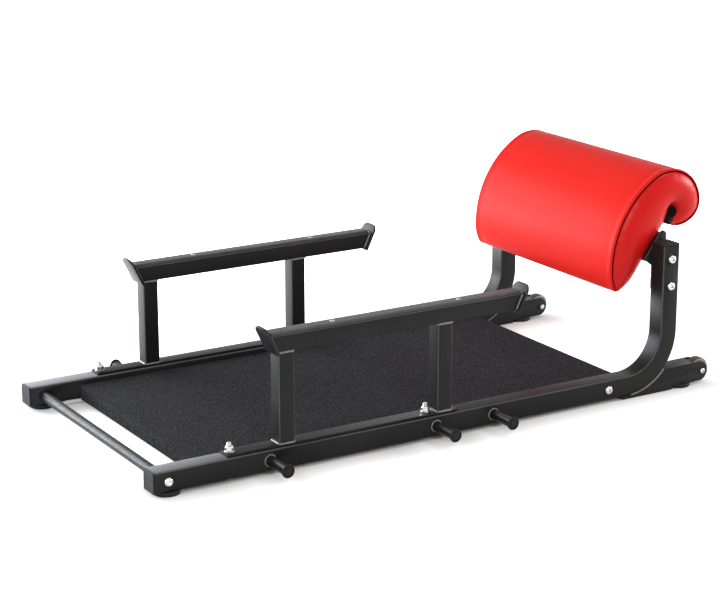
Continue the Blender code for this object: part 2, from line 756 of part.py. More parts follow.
def wear_strip_mesh():
    """The strip on top of the beam, about X = 0, from Z = 0."""
    half = beam_end_x(BEAM_SIZE) - WEAR_STRIP_END_GAP
    outline = [
        (-WEAR_STRIP_WIDTH / 2, GAP), (WEAR_STRIP_WIDTH / 2, GAP),
        (WEAR_STRIP_WIDTH / 2, WEAR_STRIP_THICKNESS - WEAR_STRIP_EDGE),
        (WEAR_STRIP_WIDTH / 2 - WEAR_STRIP_EDGE, WEAR_STRIP_THICKNESS),
        (WEAR_STRIP_EDGE - WEAR_STRIP_WIDTH / 2, WEAR_STRIP_THICKNESS),
        (-WEAR_STRIP_WIDTH / 2, WEAR_STRIP_THICKNESS - WEAR_STRIP_EDGE)]
    return prism("wear_strip", outline, -half, half, lambda y, z, x: (x, y, z), smooth=False)


def add_stands(materials):
    """Both rest stands."""
    bar, post, beam = base_bar_mesh(), post_mesh(), beam_mesh()
    plate, strip = end_plate_mesh(), wear_strip_mesh()
    for word, side in SIDES:
        middle = side * RAIL_SPACING / 2
        place("stand_base_bar_" + word, bar, materials["frame"], (STAND_START, middle, RAIL_SIZE))
        for where, offset in zip(("front", "rear"), POST_OFFSETS):
            foot = (STAND_START + offset, middle, BASE_BAR_TOP)
            place(f"stand_post_{where}_{word}", post, materials["frame"], foot)
        beam_place = (BEAM_X, middle, BEAM_BOTTOM + GAP)
        place("rest_beam_" + word, beam, materials["frame"], beam_place)
        for where, turn in (("front", math.pi), ("rear", 0)):
            place(f"beam_end_plate_{where}_{word}", plate, materials["frame"], beam_place, (0, 0, turn))
        place("wear_strip_" + word, strip, materials["strip"], (BEAM_X, middle, BEAM_TOP + GAP))


# Band pegs

def peg_mesh():
    """A hollow peg along Z from the rail's face at Z = 0, with a flanged cap."""
    radius = PEG_DIAMETER / 2
    bore = radius - PEG_WALL
    flange = PEG_CAP_DIAMETER / 2
    top = PEG_LENGTH + PEG_CAP_THICKNESS
    face = flange - PEG_CAP_RIM
    return turned("band_peg", [
        (bore, GAP), (radius, GAP), (radius, PEG_LENGTH), (flange, PEG_LENGTH), (flange, top - PEG_CAP_EDGE),
        (flange - PEG_CAP_EDGE, top), (face, top), (face, top - PEG_CAP_RECESS), (0, top - PEG_CAP_RECESS),
        (0, PEG_LENGTH - PEG_WALL), (bore, PEG_LENGTH - PEG_WALL)])


def add_pegs(materials):
    """Three band pegs on each rail."""
    peg = peg_mesh()
    for word, side in SIDES:
        for where, offset in zip(("front", "middle", "rear"), PEG_OFFSETS):
            spot = (offset, side * RAIL_OUTER, RAIL_MIDDLE)
            place(f"band_peg_{where}_{word}", peg, materials["frame"], spot, facing_out(side))


# Wheel arms, wheels and feet

def arm_outline():
    """Side view of the arm: tongue under the bend, cope against it, flat top and round end."""
    reach = BEND_RADIUS + RAIL_SIZE / 2 + GAP
    centre = (BEND_START_X, BEND_CENTRE_Z)
    cope_end = -math.asin((BEND_CENTRE_Z - RAIL_SIZE) / reach)
    end_x = UPRIGHT_X + ARM_END_REACH
    tongue_x = UPRIGHT_X - TONGUE_START
    points = [(tongue_x, -GAP - TONGUE_NOSE), (tongue_x, -GAP)]
    points += arc(centre, reach, -math.pi / 2, cope_end, COPE_STEPS)
    points += arc((end_x, RAIL_MIDDLE), RAIL_MIDDLE, math.pi / 2, -math.pi / 2, ARM_END_STEPS)
    points += [(UPRIGHT_X + TONGUE_END, 0), (UPRIGHT_X + TONGUE_END, -TONGUE_DEPTH)]
    points += [(tongue_x + TONGUE_TAPER, -TONGUE_DEPTH)]
    return points


def arm_mesh():
    """The arm about Y = 0: a box section, forked at the wheel."""
    solid = prism("wheel_arm", arm_outline(), -RAIL_SIZE / 2, RAIL_SIZE / 2, side_axes)
    inside = RAIL_SIZE / 2 - ARM_WALL
    past = AXLE_X + WHEEL_DIAMETER
    hollow = box("hollow", (BEND_START_X, -inside, ARM_WALL), (past, inside, RAIL_SIZE - ARM_WALL))
    slot = box("slot", (AXLE_X - ARM_SLOT_BACK, -inside, -RAIL_SIZE), (past, inside, 2 * RAIL_SIZE))
    axle = bolt_cutter((AXLE_X, 0, RAIL_MIDDLE), (0, 1, 0), 2 * RAIL_SIZE, AXLE_HOLE_RADIUS)
    return combined(solid, [hollow, slot, axle])


def wheel_mesh():
    """The wheel about Z, with a tyre, recessed sides and a hub as wide as its fork."""
    radius, half = WHEEL_DIAMETER / 2, WHEEL_WIDTH / 2
    hub_half = RAIL_SIZE / 2 - ARM_WALL - GAP
    recess, hub = WHEEL_RECESS_DIAMETER / 2, WHEEL_HUB_DIAMETER / 2
    floor = half - WHEEL_RECESS
    side = [(AXLE_HOLE_RADIUS, hub_half), (hub, hub_half), (hub, floor), (recess, floor)]
    side += [(recess + WHEEL_RECESS / 2, half)]
    side += arc((radius - WHEEL_EDGE, half - WHEEL_EDGE), WHEEL_EDGE, math.pi / 2, 0, CORNER_STEPS)
    return turned("transport_wheel", side + [(r, -z) for r, z in reversed(side)])


def foot_mesh():
    """A rubber foot under Z = 0, standing on the floor."""
    radius = FOOT_DIAMETER / 2
    return turned("rubber_foot", [
        (0, -FOOT_HEIGHT), (radius - FOOT_EDGE / 2, -FOOT_HEIGHT), (radius, FOOT_EDGE / 2 - FOOT_HEIGHT),
        (radius, -GAP - FOOT_EDGE), (radius - FOOT_EDGE, -GAP), (0, -GAP)])


def wheel_bolt_mesh():
    """The wheel's axle: a button-head bolt through the fork with its nut."""
    nut = (AXLE_NUT_WIDTH, AXLE_NUT_HEIGHT, -RAIL_SIZE - GAP)
    head = (AXLE_HEAD_DIAMETER, AXLE_HEAD_HEIGHT)
    length = RAIL_SIZE + GAP + AXLE_NUT_HEIGHT + BOLT_END
    return button_bolt("wheel_bolt", AXLE_DIAMETER, head, (AXLE_SOCKET, AXLE_SOCKET_DEPTH), length, nut)


def add_running_gear(materials):
    """Wheel arms, wheels, axles and the four feet."""
    arm, wheel, axle, foot = arm_mesh(), wheel_mesh(), wheel_bolt_mesh(), foot_mesh()
    for word, side in SIDES:
        middle = side * RAIL_SPACING / 2
        place("wheel_arm_" + word, arm, materials["frame"], (0, middle, 0))
        axle_place = (AXLE_X, middle, RAIL_MIDDLE)
        place("transport_wheel_" + word, wheel, materials["wheel"], axle_place, facing_out(side))
        place("rubber_foot_front_" + word, foot, materials["rubber"], (FRONT_FOOT_X, middle, 0))
        place("rubber_foot_rear_" + word, foot, materials["rubber"], (AXLE_X - REAR_FOOT_SETBACK, middle, 0))
    add_side_bolts(materials, "wheel_bolt", axle, AXLE_X, RAIL_MIDDLE)


# Back pad

def back_point(along, behind):
    """A point by its distance down the pad's flat back from its top, and its distance behind it."""
    cosine, sine = math.cos(PAD_BACK_ANGLE), math.sin(PAD_BACK_ANGLE)
    x = PAD_BACK_TOP[0] - along * cosine + behind * sine
    z = PAD_BACK_TOP[1] - along * sine - behind * cosine
    return (x, z)


def pad_outline():
    """Side view of the pad, clockwise from the top of its flat back."""
    chain = (
        (HEEL_RADIUS, HEEL_TURN), (TOE_RADIUS, TOE_TURN), (BELLY_RADIUS, BELLY_TURN),
        (FRONT_RADIUS, FRONT_TURN), (ROLL_RADIUS, ROLL_TURN), (CREST_RADIUS, CREST_TURN),
        (HOOK_RADIUS, HOOK_TURN), (LIP_RADIUS, LIP_TURN))
    facing = PAD_BACK_ANGLE - math.pi / 2
    place_now = back_point(PAD_BACK_LENGTH, 0)
    points = [PAD_BACK_TOP, place_now]
    for radius, turn in chain:
        steps = math.ceil(turn / (2 * math.acos(1 - PAD_FACET_SAG / radius)))
        centre = (place_now[0] - radius * math.cos(facing), place_now[1] - radius * math.sin(facing))
        points += arc(centre, radius, facing, facing - turn, steps)[1:]
        facing -= turn
        place_now = points[-1]
    notch_centre = (PAD_BACK_TOP[0] + NOTCH_BEHIND, PAD_BACK_TOP[1] + NOTCH_ABOVE)
    notch = arc(notch_centre, NOTCH_RADIUS, NOTCH_END, NOTCH_START, NOTCH_STEPS)
    return points + lip_nose(place_now, notch[0]) + notch


def lip_nose(start, end):
    """Half a circle that joins two points, bulging to the left of the way between them."""
    middle = ((start[0] + end[0]) / 2, (start[1] + end[1]) / 2)
    radius = math.dist(start, end) / 2
    from_angle = math.atan2(start[1] - middle[1], start[0] - middle[0])
    return arc(middle, radius, from_angle, from_angle - math.pi, NOSE_STEPS)[1:-1]


def seam_rings():
    """Each ring at one end, as (inset, distance from the middle): round edge, sunk seam, crowned panel."""
    half = PAD_WIDTH / 2
    rings = []
    for step in range(PAD_EDGE_STEPS + 1):
        angle = math.pi / 2 * step / PAD_EDGE_STEPS
        rings.append((PAD_SEAM_INSET * (1 - math.cos(angle)), half - PAD_EDGE_ROUND * (1 - math.sin(angle))))
    rings.append((PAD_SEAM_INSET + PAD_SEAM_DEPTH, half - PAD_SEAM_DEPTH))
    for share in PAD_CROWN_SHARES:
        crown = PAD_END_CROWN * math.sin(share * math.pi / 2)
        rings.append((PAD_SEAM_INSET + PAD_SEAM_DEPTH + PAD_CROWN_REACH * share, half + crown))
    return rings


def inward_normals(points):
    """Unit normals into a clockwise outline, one at each point."""
    normals = []
    for index, point in enumerate(points):
        before = Vector(points[index - 1])
        after = Vector(points[(index + 1) % len(points)])
        here = Vector(point)
        heading = ((here - before).normalized() + (after - here).normalized()).normalized()
        normals.append(Vector((heading.y, -heading.x)))
    return normals


def room_at(points, start, normal):
    """Radius of the largest circle inside the outline that touches it at a point."""
    room = math.inf
    for point in points:
        offset = Vector(point) - start
        ahead = offset.dot(normal)
        if ahead > 0:
            room = min(room, offset.length_squared / (2 * ahead))
    return room


def inset_outlines(points, insets):
    """The outline drawn in by each inset, ever less where the room for it runs out."""
    starts = [Vector(point) for point in points]
    normals = inward_normals(points)
    rooms = [PAD_INSET_SHARE * room_at(points, start, normal) for start, normal in zip(starts, normals)]
    outlines = []
    for inset in insets:
        outlines.append([])
        for start, normal, room in zip(starts, normals, rooms):
            outlines[-1].append(tuple(start + normal * inset * room / (inset + room)))
    return outlines


def board_prism(name, margin, front, behind, half_width):
    """A slab along the pad's flat back, from front of its plane to behind it."""
    top, low = BOARD_END_MARGIN - margin, PAD_BACK_LENGTH - BOARD_END_MARGIN + margin
    corners = ((top, -front), (low, -front), (low, behind), (top, behind))
    outline = [back_point(along, depth) for along, depth in corners]
    return prism(name, outline, -half_width, half_width, side_axes, smooth=False)


def add_pad(materials):
    """The cushion, with a recess for its board, and the board."""
    rings = seam_rings()
    outlines = inset_outlines(pad_outline(), [inset for inset, _ in rings])
    shape = bmesh.new()
    left = [ring(shape, [(x, -level, z) for x, z in line]) for line, (_, level) in zip(outlines, rings)]
    right = [ring(shape, [(x, level, z) for x, z in line]) for line, (_, level) in zip(outlines, rings)]
    loops = left[::-1] + right
    for first, second in zip(loops, loops[1:]):
        bridge(shape, first, second)
    shape.faces.new(loops[0])
    shape.faces.new(loops[-1])
    cushion = finish_mesh(shape, "pad_cushion")
    recess = board_prism("recess", GAP, BOARD_THICKNESS + GAP, BOARD_THICKNESS, BOARD_WIDTH / 2 + GAP)
    place("pad_cushion", combined(cushion, [recess]), materials["cushion"])
    board = board_prism("pad_board", 0, BOARD_THICKNESS, 0, BOARD_WIDTH / 2)
    place("pad_board", board, materials["board"])


def across_back(along, x):
    """The point at a distance down the pad's back, on the line square to it, where that line reaches x."""
    foot = back_point(along, 0)
    return back_point(along, (x - foot[0]) / math.sin(PAD_BACK_ANGLE))


def web_outline():
    """Side view of the bracket's web: up along the upright's inner face and forward to the pad's end."""
    front = UPRIGHT_X - RAIL_SIZE / 2 + BRACKET_EDGE_MARGIN
    rear = UPRIGHT_X + RAIL_SIZE / 2 - BRACKET_EDGE_MARGIN
    bottom = min(BRACKET_BOLT_HEIGHTS) - BRACKET_BOTTOM_MARGIN
    corners = [
        back_point(BRACKET_TOP_ALONG, -BRACKET_FRONT), back_point(BRACKET_LOW_ALONG, -BRACKET_FRONT),
        across_back(BRACKET_LOW_ALONG, front), (front, bottom),
        (rear, bottom), across_back(BRACKET_TOP_ALONG, rear)]
    return soften(corners, BRACKET_CORNER, (0, 3, 4, 5))


def soften(corners, radius, which):
    """The outline with some of its corners made round."""
    points = []
    for index, corner in enumerate(corners):
        if index not in which:
            points.append(corner)
            continue
        here = Vector(corner)
        back = (Vector(corners[index - 1]) - here).normalized()
        ahead = (Vector(corners[(index + 1) % len(corners)]) - here).normalized()
        half = back.angle(ahead) / 2
        reach = radius / math.tan(half)
        centre = here + (back + ahead).normalized() * radius / math.sin(half)
        start, end = here + back * reach - centre, here + ahead * reach - centre
        turn = start.angle_signed(end)
        base = math.atan2(start.y, start.x)
        points += arc(centre, radius, base, base - turn, CORNER_STEPS + 1)
    return points


def add_brackets(materials):
    """An angle bracket a side: a web on the upright and a flange behind the pad's board."""
    outer = RAIL_INNER - GAP
    inner = outer - BRACKET_THICKNESS
    flange_top = BRACKET_TOP_ALONG + BRACKET_EDGE_MARGIN
    flange_low = flange_top + FLANGE_LENGTH
    faces = (GAP, GAP + BRACKET_THICKNESS)
    corners = ((flange_top, faces[0]), (flange_low, faces[0]), (flange_low, faces[1]), (flange_top, faces[1]))
    flange = [back_point(along, behind) for along, behind in corners]
    for word, side in SIDES:
        web = prism("pad_bracket_" + word, web_outline(), side * inner, side * outer, side_axes)
        lap = side * (inner + outer) / 2
        arm = prism("flange", flange, lap, side * (inner - FLANGE_WIDTH), side_axes, smooth=False)
        places = [(UPRIGHT_X, side * inner, height) for height in BRACKET_BOLT_HEIGHTS]
        holes = [bolt_cutter(spot, (0, 1, 0), RAIL_SIZE, BOLT_HOLE_RADIUS) for spot in places]
        whole = combined(web, [arm], "UNION")
        place("pad_bracket_" + word, combined(whole, holes), materials["frame"])


def model_ends():
    """The lowest and highest X of the whole bench."""
    pad_end = max(x for x, _ in pad_outline())
    wheel_end = AXLE_X + WHEEL_DIAMETER / 2
    arm_end = UPRIGHT_X + ARM_END_REACH + RAIL_MIDDLE
    return (-END_CAP_THICKNESS, max(pad_end, wheel_end, arm_end))


def main():
    """Builds the bench."""
    clear_scene()
    add_bench_empty(*model_ends())
    materials = make_materials()
    add_rails(materials)
    add_caps(materials)
    add_foot_cross_tube(materials)
    add_head_cross_strap(materials)
    add_frame_bolts(materials)
    add_mat(materials)
    add_stands(materials)
    add_stand_bolts(materials)
    add_pegs(materials)
    add_running_gear(materials)
    add_pad(materials)
    add_brackets(materials)


main()
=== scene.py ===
"""Looks of a hip thrust bench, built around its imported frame.

Sizes are in millimetres, with X from the rails' foot ends and Z from the rails' undersides. The left side
of the bench is -Y, and its right side is the mirror image.
"""

import logging
import math
from collections.abc import Callable, Sequence
from dataclasses import dataclass, field
from enum import Enum

import bmesh
import bpy
from mathutils import Matrix, Vector, geometry


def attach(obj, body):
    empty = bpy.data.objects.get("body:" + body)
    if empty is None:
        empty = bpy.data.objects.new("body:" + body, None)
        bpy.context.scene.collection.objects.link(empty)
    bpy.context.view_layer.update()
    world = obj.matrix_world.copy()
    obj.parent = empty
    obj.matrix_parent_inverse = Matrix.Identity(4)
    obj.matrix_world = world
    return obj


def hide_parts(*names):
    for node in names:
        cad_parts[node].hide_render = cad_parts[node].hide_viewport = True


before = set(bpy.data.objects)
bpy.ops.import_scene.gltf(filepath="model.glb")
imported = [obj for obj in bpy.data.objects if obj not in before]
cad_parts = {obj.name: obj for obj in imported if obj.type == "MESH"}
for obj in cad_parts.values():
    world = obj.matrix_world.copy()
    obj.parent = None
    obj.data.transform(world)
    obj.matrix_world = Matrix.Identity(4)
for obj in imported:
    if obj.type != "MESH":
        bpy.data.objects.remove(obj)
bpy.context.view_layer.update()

# Short names for types
Piece = bpy.types.Object
Socket = bpy.types.NodeSocket
Pair = tuple[float, float]
Triple = tuple[float, float, float]
Pairs = tuple[Pair, ...]

LOG = logging.getLogger("bench")
MM = 0.001
FOOT_END = Vector((-0.7909975, 0.0, 0.010))
RAIL_Y = 348.0
RAIL_FACE = -373.0
CLEARANCE = 0.3
SMOOTH_ANGLE = math.radians(35)
BEAD_ANGLE = 1.2
SAME_WAY = 0.999
SAME_PLACE = 1e-5
BROAD = 1e-4
WHITE = (1.0, 1.0, 1.0, 1.0)

# A lock nut's rings, as shares of its width or corner radius and of its height
NUT_BODY = 0.74
NUT_FLATS = ((0.46, 0.76), (0.5, 0.74))
NUT_CORNERS = ((1.02, 0.64), (1.02, 0.1))
NUT_FACE = (0.49, 0.01)
NUT_COLLAR = ((0.36, 1.0), (0.42, 0.96), (0.46, 0.88), (0.47, 0.7))


class Axis(Enum):
    """Directions that pieces are built along."""

    X = (1.0, 0.0, 0.0)
    Y = (0.0, 1.0, 0.0)
    Z = (0.0, 0.0, 1.0)
    FOOTWARD = (-1.0, 0.0, 0.0)
    LEFTWARD = (0.0, -1.0, 0.0)

    def vector(self) -> Vector:
        """The direction as a vector."""
        return Vector(self.value)


class Element(Enum):
    """Parts of a mesh that a step can pick."""

    VERT = "verts"
    EDGE = "edges"
    FACE = "faces"


class Side(Enum):
    """The two sides of the bench."""

    LEFT = "left"
    RIGHT = "right"


def at(x: float, y: float, z: float) -> Vector:
    """Turn a point in the bench's own millimetres into one of the frame, in metres."""
    return FOOT_END + Vector((x, y, z)) * MM


def activate(piece: Piece) -> None:
    """Make a piece the only selected and the active object.

    Args:
        piece: The object to work on.
    """
    for other in bpy.context.selected_objects:
        other.select_set(False)
    piece.select_set(True)
    bpy.context.view_layer.objects.active = piece


def middle_of(edge: bmesh.types.BMEdge) -> Vector:
    """The middle of an edge."""
    return (edge.verts[0].co + edge.verts[1].co) / 2


def runs_along(edge: bmesh.types.BMEdge, axis: Vector) -> bool:
    """Whether an edge lies along an axis of length 1."""
    way = edge.verts[1].co - edge.verts[0].co
    return way.length > 0 and abs(way.normalized().dot(axis)) > SAME_WAY


def arc(centre: Pair, radius: float, start: float, turn: float, steps: int) -> list[Pair]:
    """Points along an arc, from its start on, by angles in radians."""
    angles = [start + turn * index / steps for index in range(steps + 1)]
    return [(centre[0] + radius * math.cos(angle), centre[1] + radius * math.sin(angle)) for angle in angles]


class Workpiece:
    """A piece in the making: an object in edit mode, and the steps that shape it."""

    def __init__(self, name: str) -> None:
        """Take up the object that was just added.

        Args:
            name: The piece's name.
        """
        bpy.ops.object.transform_apply(location=True, rotation=True, scale=True)
        self.piece = bpy.context.view_layer.objects.active
        self.piece.name = self.piece.data.name = name
        bpy.ops.object.mode_set(mode="EDIT")

    @classmethod
    def block(cls, name: str, low: Triple, high: Triple) -> "Workpiece":
        """Start from a block between two corners.

        Args:
            name: The piece's name.
            low: Its lowest corner, in the bench's millimetres.
            high: Its highest corner.

        Returns:
            The workpiece.
        """
        first, second = at(*low), at(*high)
        bpy.ops.mesh.primitive_cube_add(size=1, location=(first + second) / 2, scale=second - first)
        return cls(name)

    @classmethod
    def bar(cls, name: str, x: Pair, width: float, z: Pair) -> "Workpiece":
        """Start from a block over the middle of the left rail, by its ends, its width and its levels."""
        return cls.block(name, (x[0], -RAIL_Y - width / 2, z[0]), (x[1], -RAIL_Y + width / 2, z[1]))

    def pick(self, kind: Element, test: Callable[[object], bool]) -> "Workpiece":
        """Select by a test, and nothing else.

        Args:
            kind: What to select.
            test: Says whether an element is wanted.

        Returns:
            The workpiece.
        """
        bpy.ops.mesh.select_mode(type=kind.name)
        bpy.ops.mesh.select_all(action="DESELECT")
        shape = bmesh.from_edit_mesh(self.piece.data)
        for element in getattr(shape, kind.value):
            if test(element):
                element.select_set(True)
        shape.select_flush_mode()
        bmesh.update_edit_mesh(self.piece.data)
        return self

    def pick_facing(self, way: Vector) -> "Workpiece":
        """Select the broad faces that face one way."""
        return self.pick(Element.FACE, lambda face: face.normal.dot(way) > SAME_WAY
                         and face.calc_area() > BROAD)

    def pick_edges_along(self, axis: Vector) -> "Workpiece":
        """Select the edges along an axis."""
        return self.pick(Element.EDGE, lambda edge: runs_along(edge, axis))

    def pick_creases(self, angle: float = 0.6, test: Callable[[bmesh.types.BMEdge], bool] = bool
                     ) -> "Workpiece":
        """Select the edges where two faces meet at more than an angle, if they pass a further test."""
        return self.pick(Element.EDGE, lambda edge: len(edge.link_faces) == 2
                         and edge.calc_face_angle(0) > angle and test(edge))

    def extrude(self, move: Vector) -> "Workpiece":
        """Extrude what is selected by a move in metres."""
        bpy.ops.mesh.extrude_region_move(TRANSFORM_OT_translate={"value": tuple(move)})
        return self

    def inset(self, width: float, depth: float = 0.0) -> "Workpiece":
        """Inset the selected faces, and raise them by a depth."""
        bpy.ops.mesh.inset(thickness=width * MM, depth=depth * MM)
        return self

    def bevel(self, width: float, segments: int = 3, affect: str = "EDGES") -> "Workpiece":
        """Round the selected edges, or corners where affect says VERTICES."""
        bpy.ops.mesh.bevel(offset=width * MM, segments=segments, affect=affect, clamp_overlap=True)
        return self

    def bisect(self, point: Vector, way: Vector) -> "Workpiece":
        """Cut off what lies past a plane, and close the cut.

        Args:
            point: A point of the plane.
            way: Its normal, towards what goes.

        Returns:
            The workpiece.
        """
        bpy.ops.mesh.select_all(action="SELECT")
        bpy.ops.mesh.bisect(plane_co=point, plane_no=way, use_fill=True, clear_outer=True)
        return self

    def done(self, smooth: float = SMOOTH_ANGLE) -> Piece:
        """Leave edit mode with the normals outwards and the shading set.

        Args:
            smooth: The angle under which edges are shaded smooth.

        Returns:
            The finished object.
        """
        bpy.ops.mesh.select_all(action="SELECT")
        bpy.ops.mesh.normals_make_consistent(inside=False)
        bpy.ops.object.mode_set(mode="OBJECT")
        activate(self.piece)
        bpy.ops.object.shade_smooth_by_angle(angle=smooth)
        return self.piece


def turned(name: str, start: Vector, axis: Vector, profile: Sequence[Pair], steps: int = 36,
           smooth: float = SMOOTH_ANGLE) -> Piece:
    """Turn a solid of revolution, ring by ring.

    Args:
        name: The piece's name.
        start: The point on its axis that heights count from, in metres.
        axis: Its axis.
        profile: Radius and height of each ring, in millimetres.
        steps: How many corners a ring has.
        smooth: The angle under which edges are shaded smooth.

    Returns:
        The solid.
    """
    radius, height = profile[0]
    bpy.ops.mesh.primitive_circle_add(
        vertices=steps, radius=radius * MM, fill_type="NGON", location=start + axis * height * MM,
        rotation=axis.to_track_quat("Z", "Y").to_euler())
    work = Workpiece(name)
    bpy.ops.mesh.select_all(action="SELECT")
    for next_radius, next_height in profile[1:]:
        work.extrude(axis * (next_height - height) * MM)
        share = next_radius / radius
        bpy.ops.transform.resize(value=(share, share, share))
        radius, height = next_radius, next_height
    return work.done(smooth)


def apply_modifier(piece: Piece, kind: str, **settings: object) -> None:
    """Add a modifier and apply it.

    Args:
        piece: The object.
        kind: The modifier's type.
        settings: Its settings.
    """
    activate(piece)
    modifier = piece.modifiers.new(kind.lower(), kind)
    for name, value in settings.items():
        setattr(modifier, name, value)
    bpy.ops.object.modifier_apply(modifier=modifier.name)


def added(name: str, data: bpy.types.ID) -> Piece:
    """Add an object to the scene.

    Args:
        name: Its name.
        data: Its mesh, light or camera.

    Returns:
        The object.
    """
    piece = bpy.data.objects.new(name, data)
    bpy.context.scene.collection.objects.link(piece)
    return piece


def copied(piece: Piece, name: str, change: Matrix) -> Piece:
    """Copy a piece with a mesh of its own.

    Args:
        piece: The piece to copy.
        name: The copy's name.
        change: What is done to its points.

    Returns:
        The copy.
    """
    mesh = piece.data.copy()
    mesh.name = name
    mesh.transform(change)
    if change.determinant() < 0:
        mesh.flip_normals()
    return added(name, mesh)


def moved(piece: Piece, x: float = 0.0, y: float = 0.0) -> Piece:
    """Copy a piece to another place along or across the bench."""
    return copied(piece, piece.name, Matrix.Translation(Vector((x, y, 0.0)) * MM))


def joined(pieces: Sequence[Piece], name: str) -> Piece:
    """Join objects into one piece.

    Args:
        pieces: The objects.
        name: The piece's name.

    Returns:
        The piece.
    """
    activate(pieces[0])
    for piece in pieces:
        piece.select_set(True)
    bpy.ops.object.join()
    pieces[0].name = pieces[0].data.name = name
    return pieces[0]


def cut(piece: Piece, cutter: Piece, operation: str = "DIFFERENCE") -> Piece:
    """Cut one object with another, which is used up.

    Args:
        piece: The object that stays.
        cutter: The object that cuts.
        operation: The Boolean's kind.

    Returns:
        The piece.
    """
    apply_modifier(piece, "BOOLEAN", object=cutter, operation=operation, solver="EXACT")
    bpy.data.objects.remove(cutter)
    activate(piece)
    bpy.ops.object.shade_smooth_by_angle(angle=SMOOTH_ANGLE)
    return piece


@dataclass(frozen=True)
class Pattern:
    """Noise of so many features per metre, or cells of a named kind."""

    scale: float
    detail: float = 3.0
    rough: float = 0.5
    cells: str = ""
    stretch: Triple | None = None


Reliefs = tuple[tuple[Pattern, float, float], ...]


class Graph:
    """A node tree under construction."""

    def __init__(self, tree: bpy.types.NodeTree) -> None:
        """Take up a tree."""
        self.tree = tree

    def feed(self, node: bpy.types.Node, *ordered: object, **named: object) -> bpy.types.Node:
        """Set a node's inputs, or drive them.

        Args:
            node: The node.
            ordered: Values or sockets for its first inputs.
            named: Values or sockets for inputs by name, with _ for a space.

        Returns:
            The node.
        """
        given = list(zip(node.inputs, ordered))
        given += [(node.inputs[name.replace("_", " ")], value) for name, value in named.items()]
        for target, value in given:
            if isinstance(value, Socket):
                self.tree.links.new(value, target)
            else:
                target.default_value = value
        return node

    def node(self, kind: str, *ordered: object, **named: object) -> bpy.types.Node:
        """Add a node of a kind and feed it."""
        return self.feed(self.tree.nodes.new(f"ShaderNode{kind}"), *ordered, **named)

    def combine(self, operation: str, *values: Socket) -> Socket:
        """Combine values one after another.

        Args:
            operation: What is done with each two.
            values: The values.

        Returns:
            The result.
        """
        result = values[0]
        for value in values[1:]:
            node = self.node("Math", result, value)
            node.operation = operation
            result = node.outputs[0]
        return result

    def spread(self, source: Socket, low: float, high: float, start: float = 0.3, end: float = 0.7) -> Socket:
        """Map a value's range from start to end to one from low to high."""
        return self.node("MapRange", Value=source, From_Min=start, From_Max=end, To_Min=low,
                         To_Max=high).outputs["Result"]

    def seen(self) -> Socket:
        """Tell the rays that show the background from the others.

        Returns:
            1 for camera, glossy and transmission rays, and 0 for others.
        """
        rays = self.node("LightPath").outputs
        kinds = ("Camera", "Glossy", "Transmission")
        return self.combine("MAXIMUM", *(rays[f"Is {kind} Ray"] for kind in kinds))


class Shader(Graph):
    """A material's node tree under construction."""

    def __init__(self, name: str, **values: object) -> None:
        """Start a material with its Principled shader.

        Args:
            name: The material's name.
            values: The shader's inputs, with _ for a space.
        """
        self.material = bpy.data.materials.new(name)
        self.material.use_nodes = True
        super().__init__(self.material.node_tree)
        self.place = self.node("TexCoord").outputs["Object"]
        self.surface = self.feed(self.tree.nodes["Principled BSDF"], **values)
        self.made: dict[Pattern, Socket] = {}

    def pattern(self, wanted: Pattern) -> Socket:
        """Add a pattern on the object's own coordinates, once.

        Args:
            wanted: The pattern.

        Returns:
            Its value.
        """
        if wanted in self.made:
            return self.made[wanted]
        place = self.place
        if wanted.stretch:
            place = self.node("Mapping", Vector=place, Scale=wanted.stretch).outputs["Vector"]
        if wanted.cells:
            node = self.node("TexVoronoi", Vector=place, Scale=wanted.scale)
            node.feature = wanted.cells
        else:
            node = self.node("TexNoise", Vector=place, Scale=wanted.scale, Detail=wanted.detail,
                             Roughness=wanted.rough)
        self.made[wanted] = node.outputs["Distance" if wanted.cells else "Fac"]
        return self.made[wanted]

    def ramp(self, source: Socket, stops: Sequence[tuple[float, Sequence[float]]]) -> Socket:
        """Turn a value into a colour.

        Args:
            source: The value.
            stops: Places and colours.

        Returns:
            The colour.
        """
        node = self.node("ValToRGB", Fac=source)
        elements = node.color_ramp.elements
        while len(elements) < len(stops):
            elements.new(1.0)
        for element, (element.position, colour) in zip(elements, stops):
            element.color = (*colour, 1.0)
        return node.outputs["Color"]

    def bump(self, source: Socket, depth: float, strength: float) -> None:
        """Add relief, over any that is there.

        Args:
            source: The height, from 0 to 1.
            depth: The relief's depth in millimetres.
            strength: How strongly it shows.
        """
        node = self.node("Bump", Distance=depth * MM, Strength=strength, Height=source)
        normal = self.surface.inputs["Normal"]
        if normal.is_linked:
            self.tree.links.new(normal.links[0].from_socket, node.inputs["Normal"])
        self.tree.links.new(node.outputs["Normal"], normal)


@dataclass(frozen=True)
class Finish:
    """A finish: its name, the record's slot that it stands for, and what its material is made of.

    The clouds pattern picks a share of the colour by shades, and the wear pattern moves the roughness within
    gloss. Each relief is a pattern with its depth in millimetres and its strength.
    """

    name: str
    slot: str
    colour: Triple
    roughness: float
    clouds: Pattern
    shades: Pairs
    wear: Pattern
    gloss: Pair
    reliefs: Reliefs
    ior: float = 1.5
    metallic: float = 0.0

    def material(self) -> bpy.types.Material:
        """The finish's material, made once."""
        return bpy.data.materials.get(self.name) or self.build()

    def build(self) -> bpy.types.Material:
        """Make the material.

        Returns:
            The material.
        """
        shader = Shader(self.name, IOR=self.ior, Metallic=self.metallic)
        stops = [(place, [min(1.0, value * share) for value in self.colour]) for place, share in self.shades]
        less, more = self.gloss
        shader.feed(
            shader.surface, Base_Color=shader.ramp(shader.pattern(self.clouds), stops),
            Roughness=shader.spread(shader.pattern(self.wear), self.roughness + less, self.roughness + more))
        for pattern, depth, strength in self.reliefs:
            shader.bump(shader.pattern(pattern), depth, strength)
        return shader.material


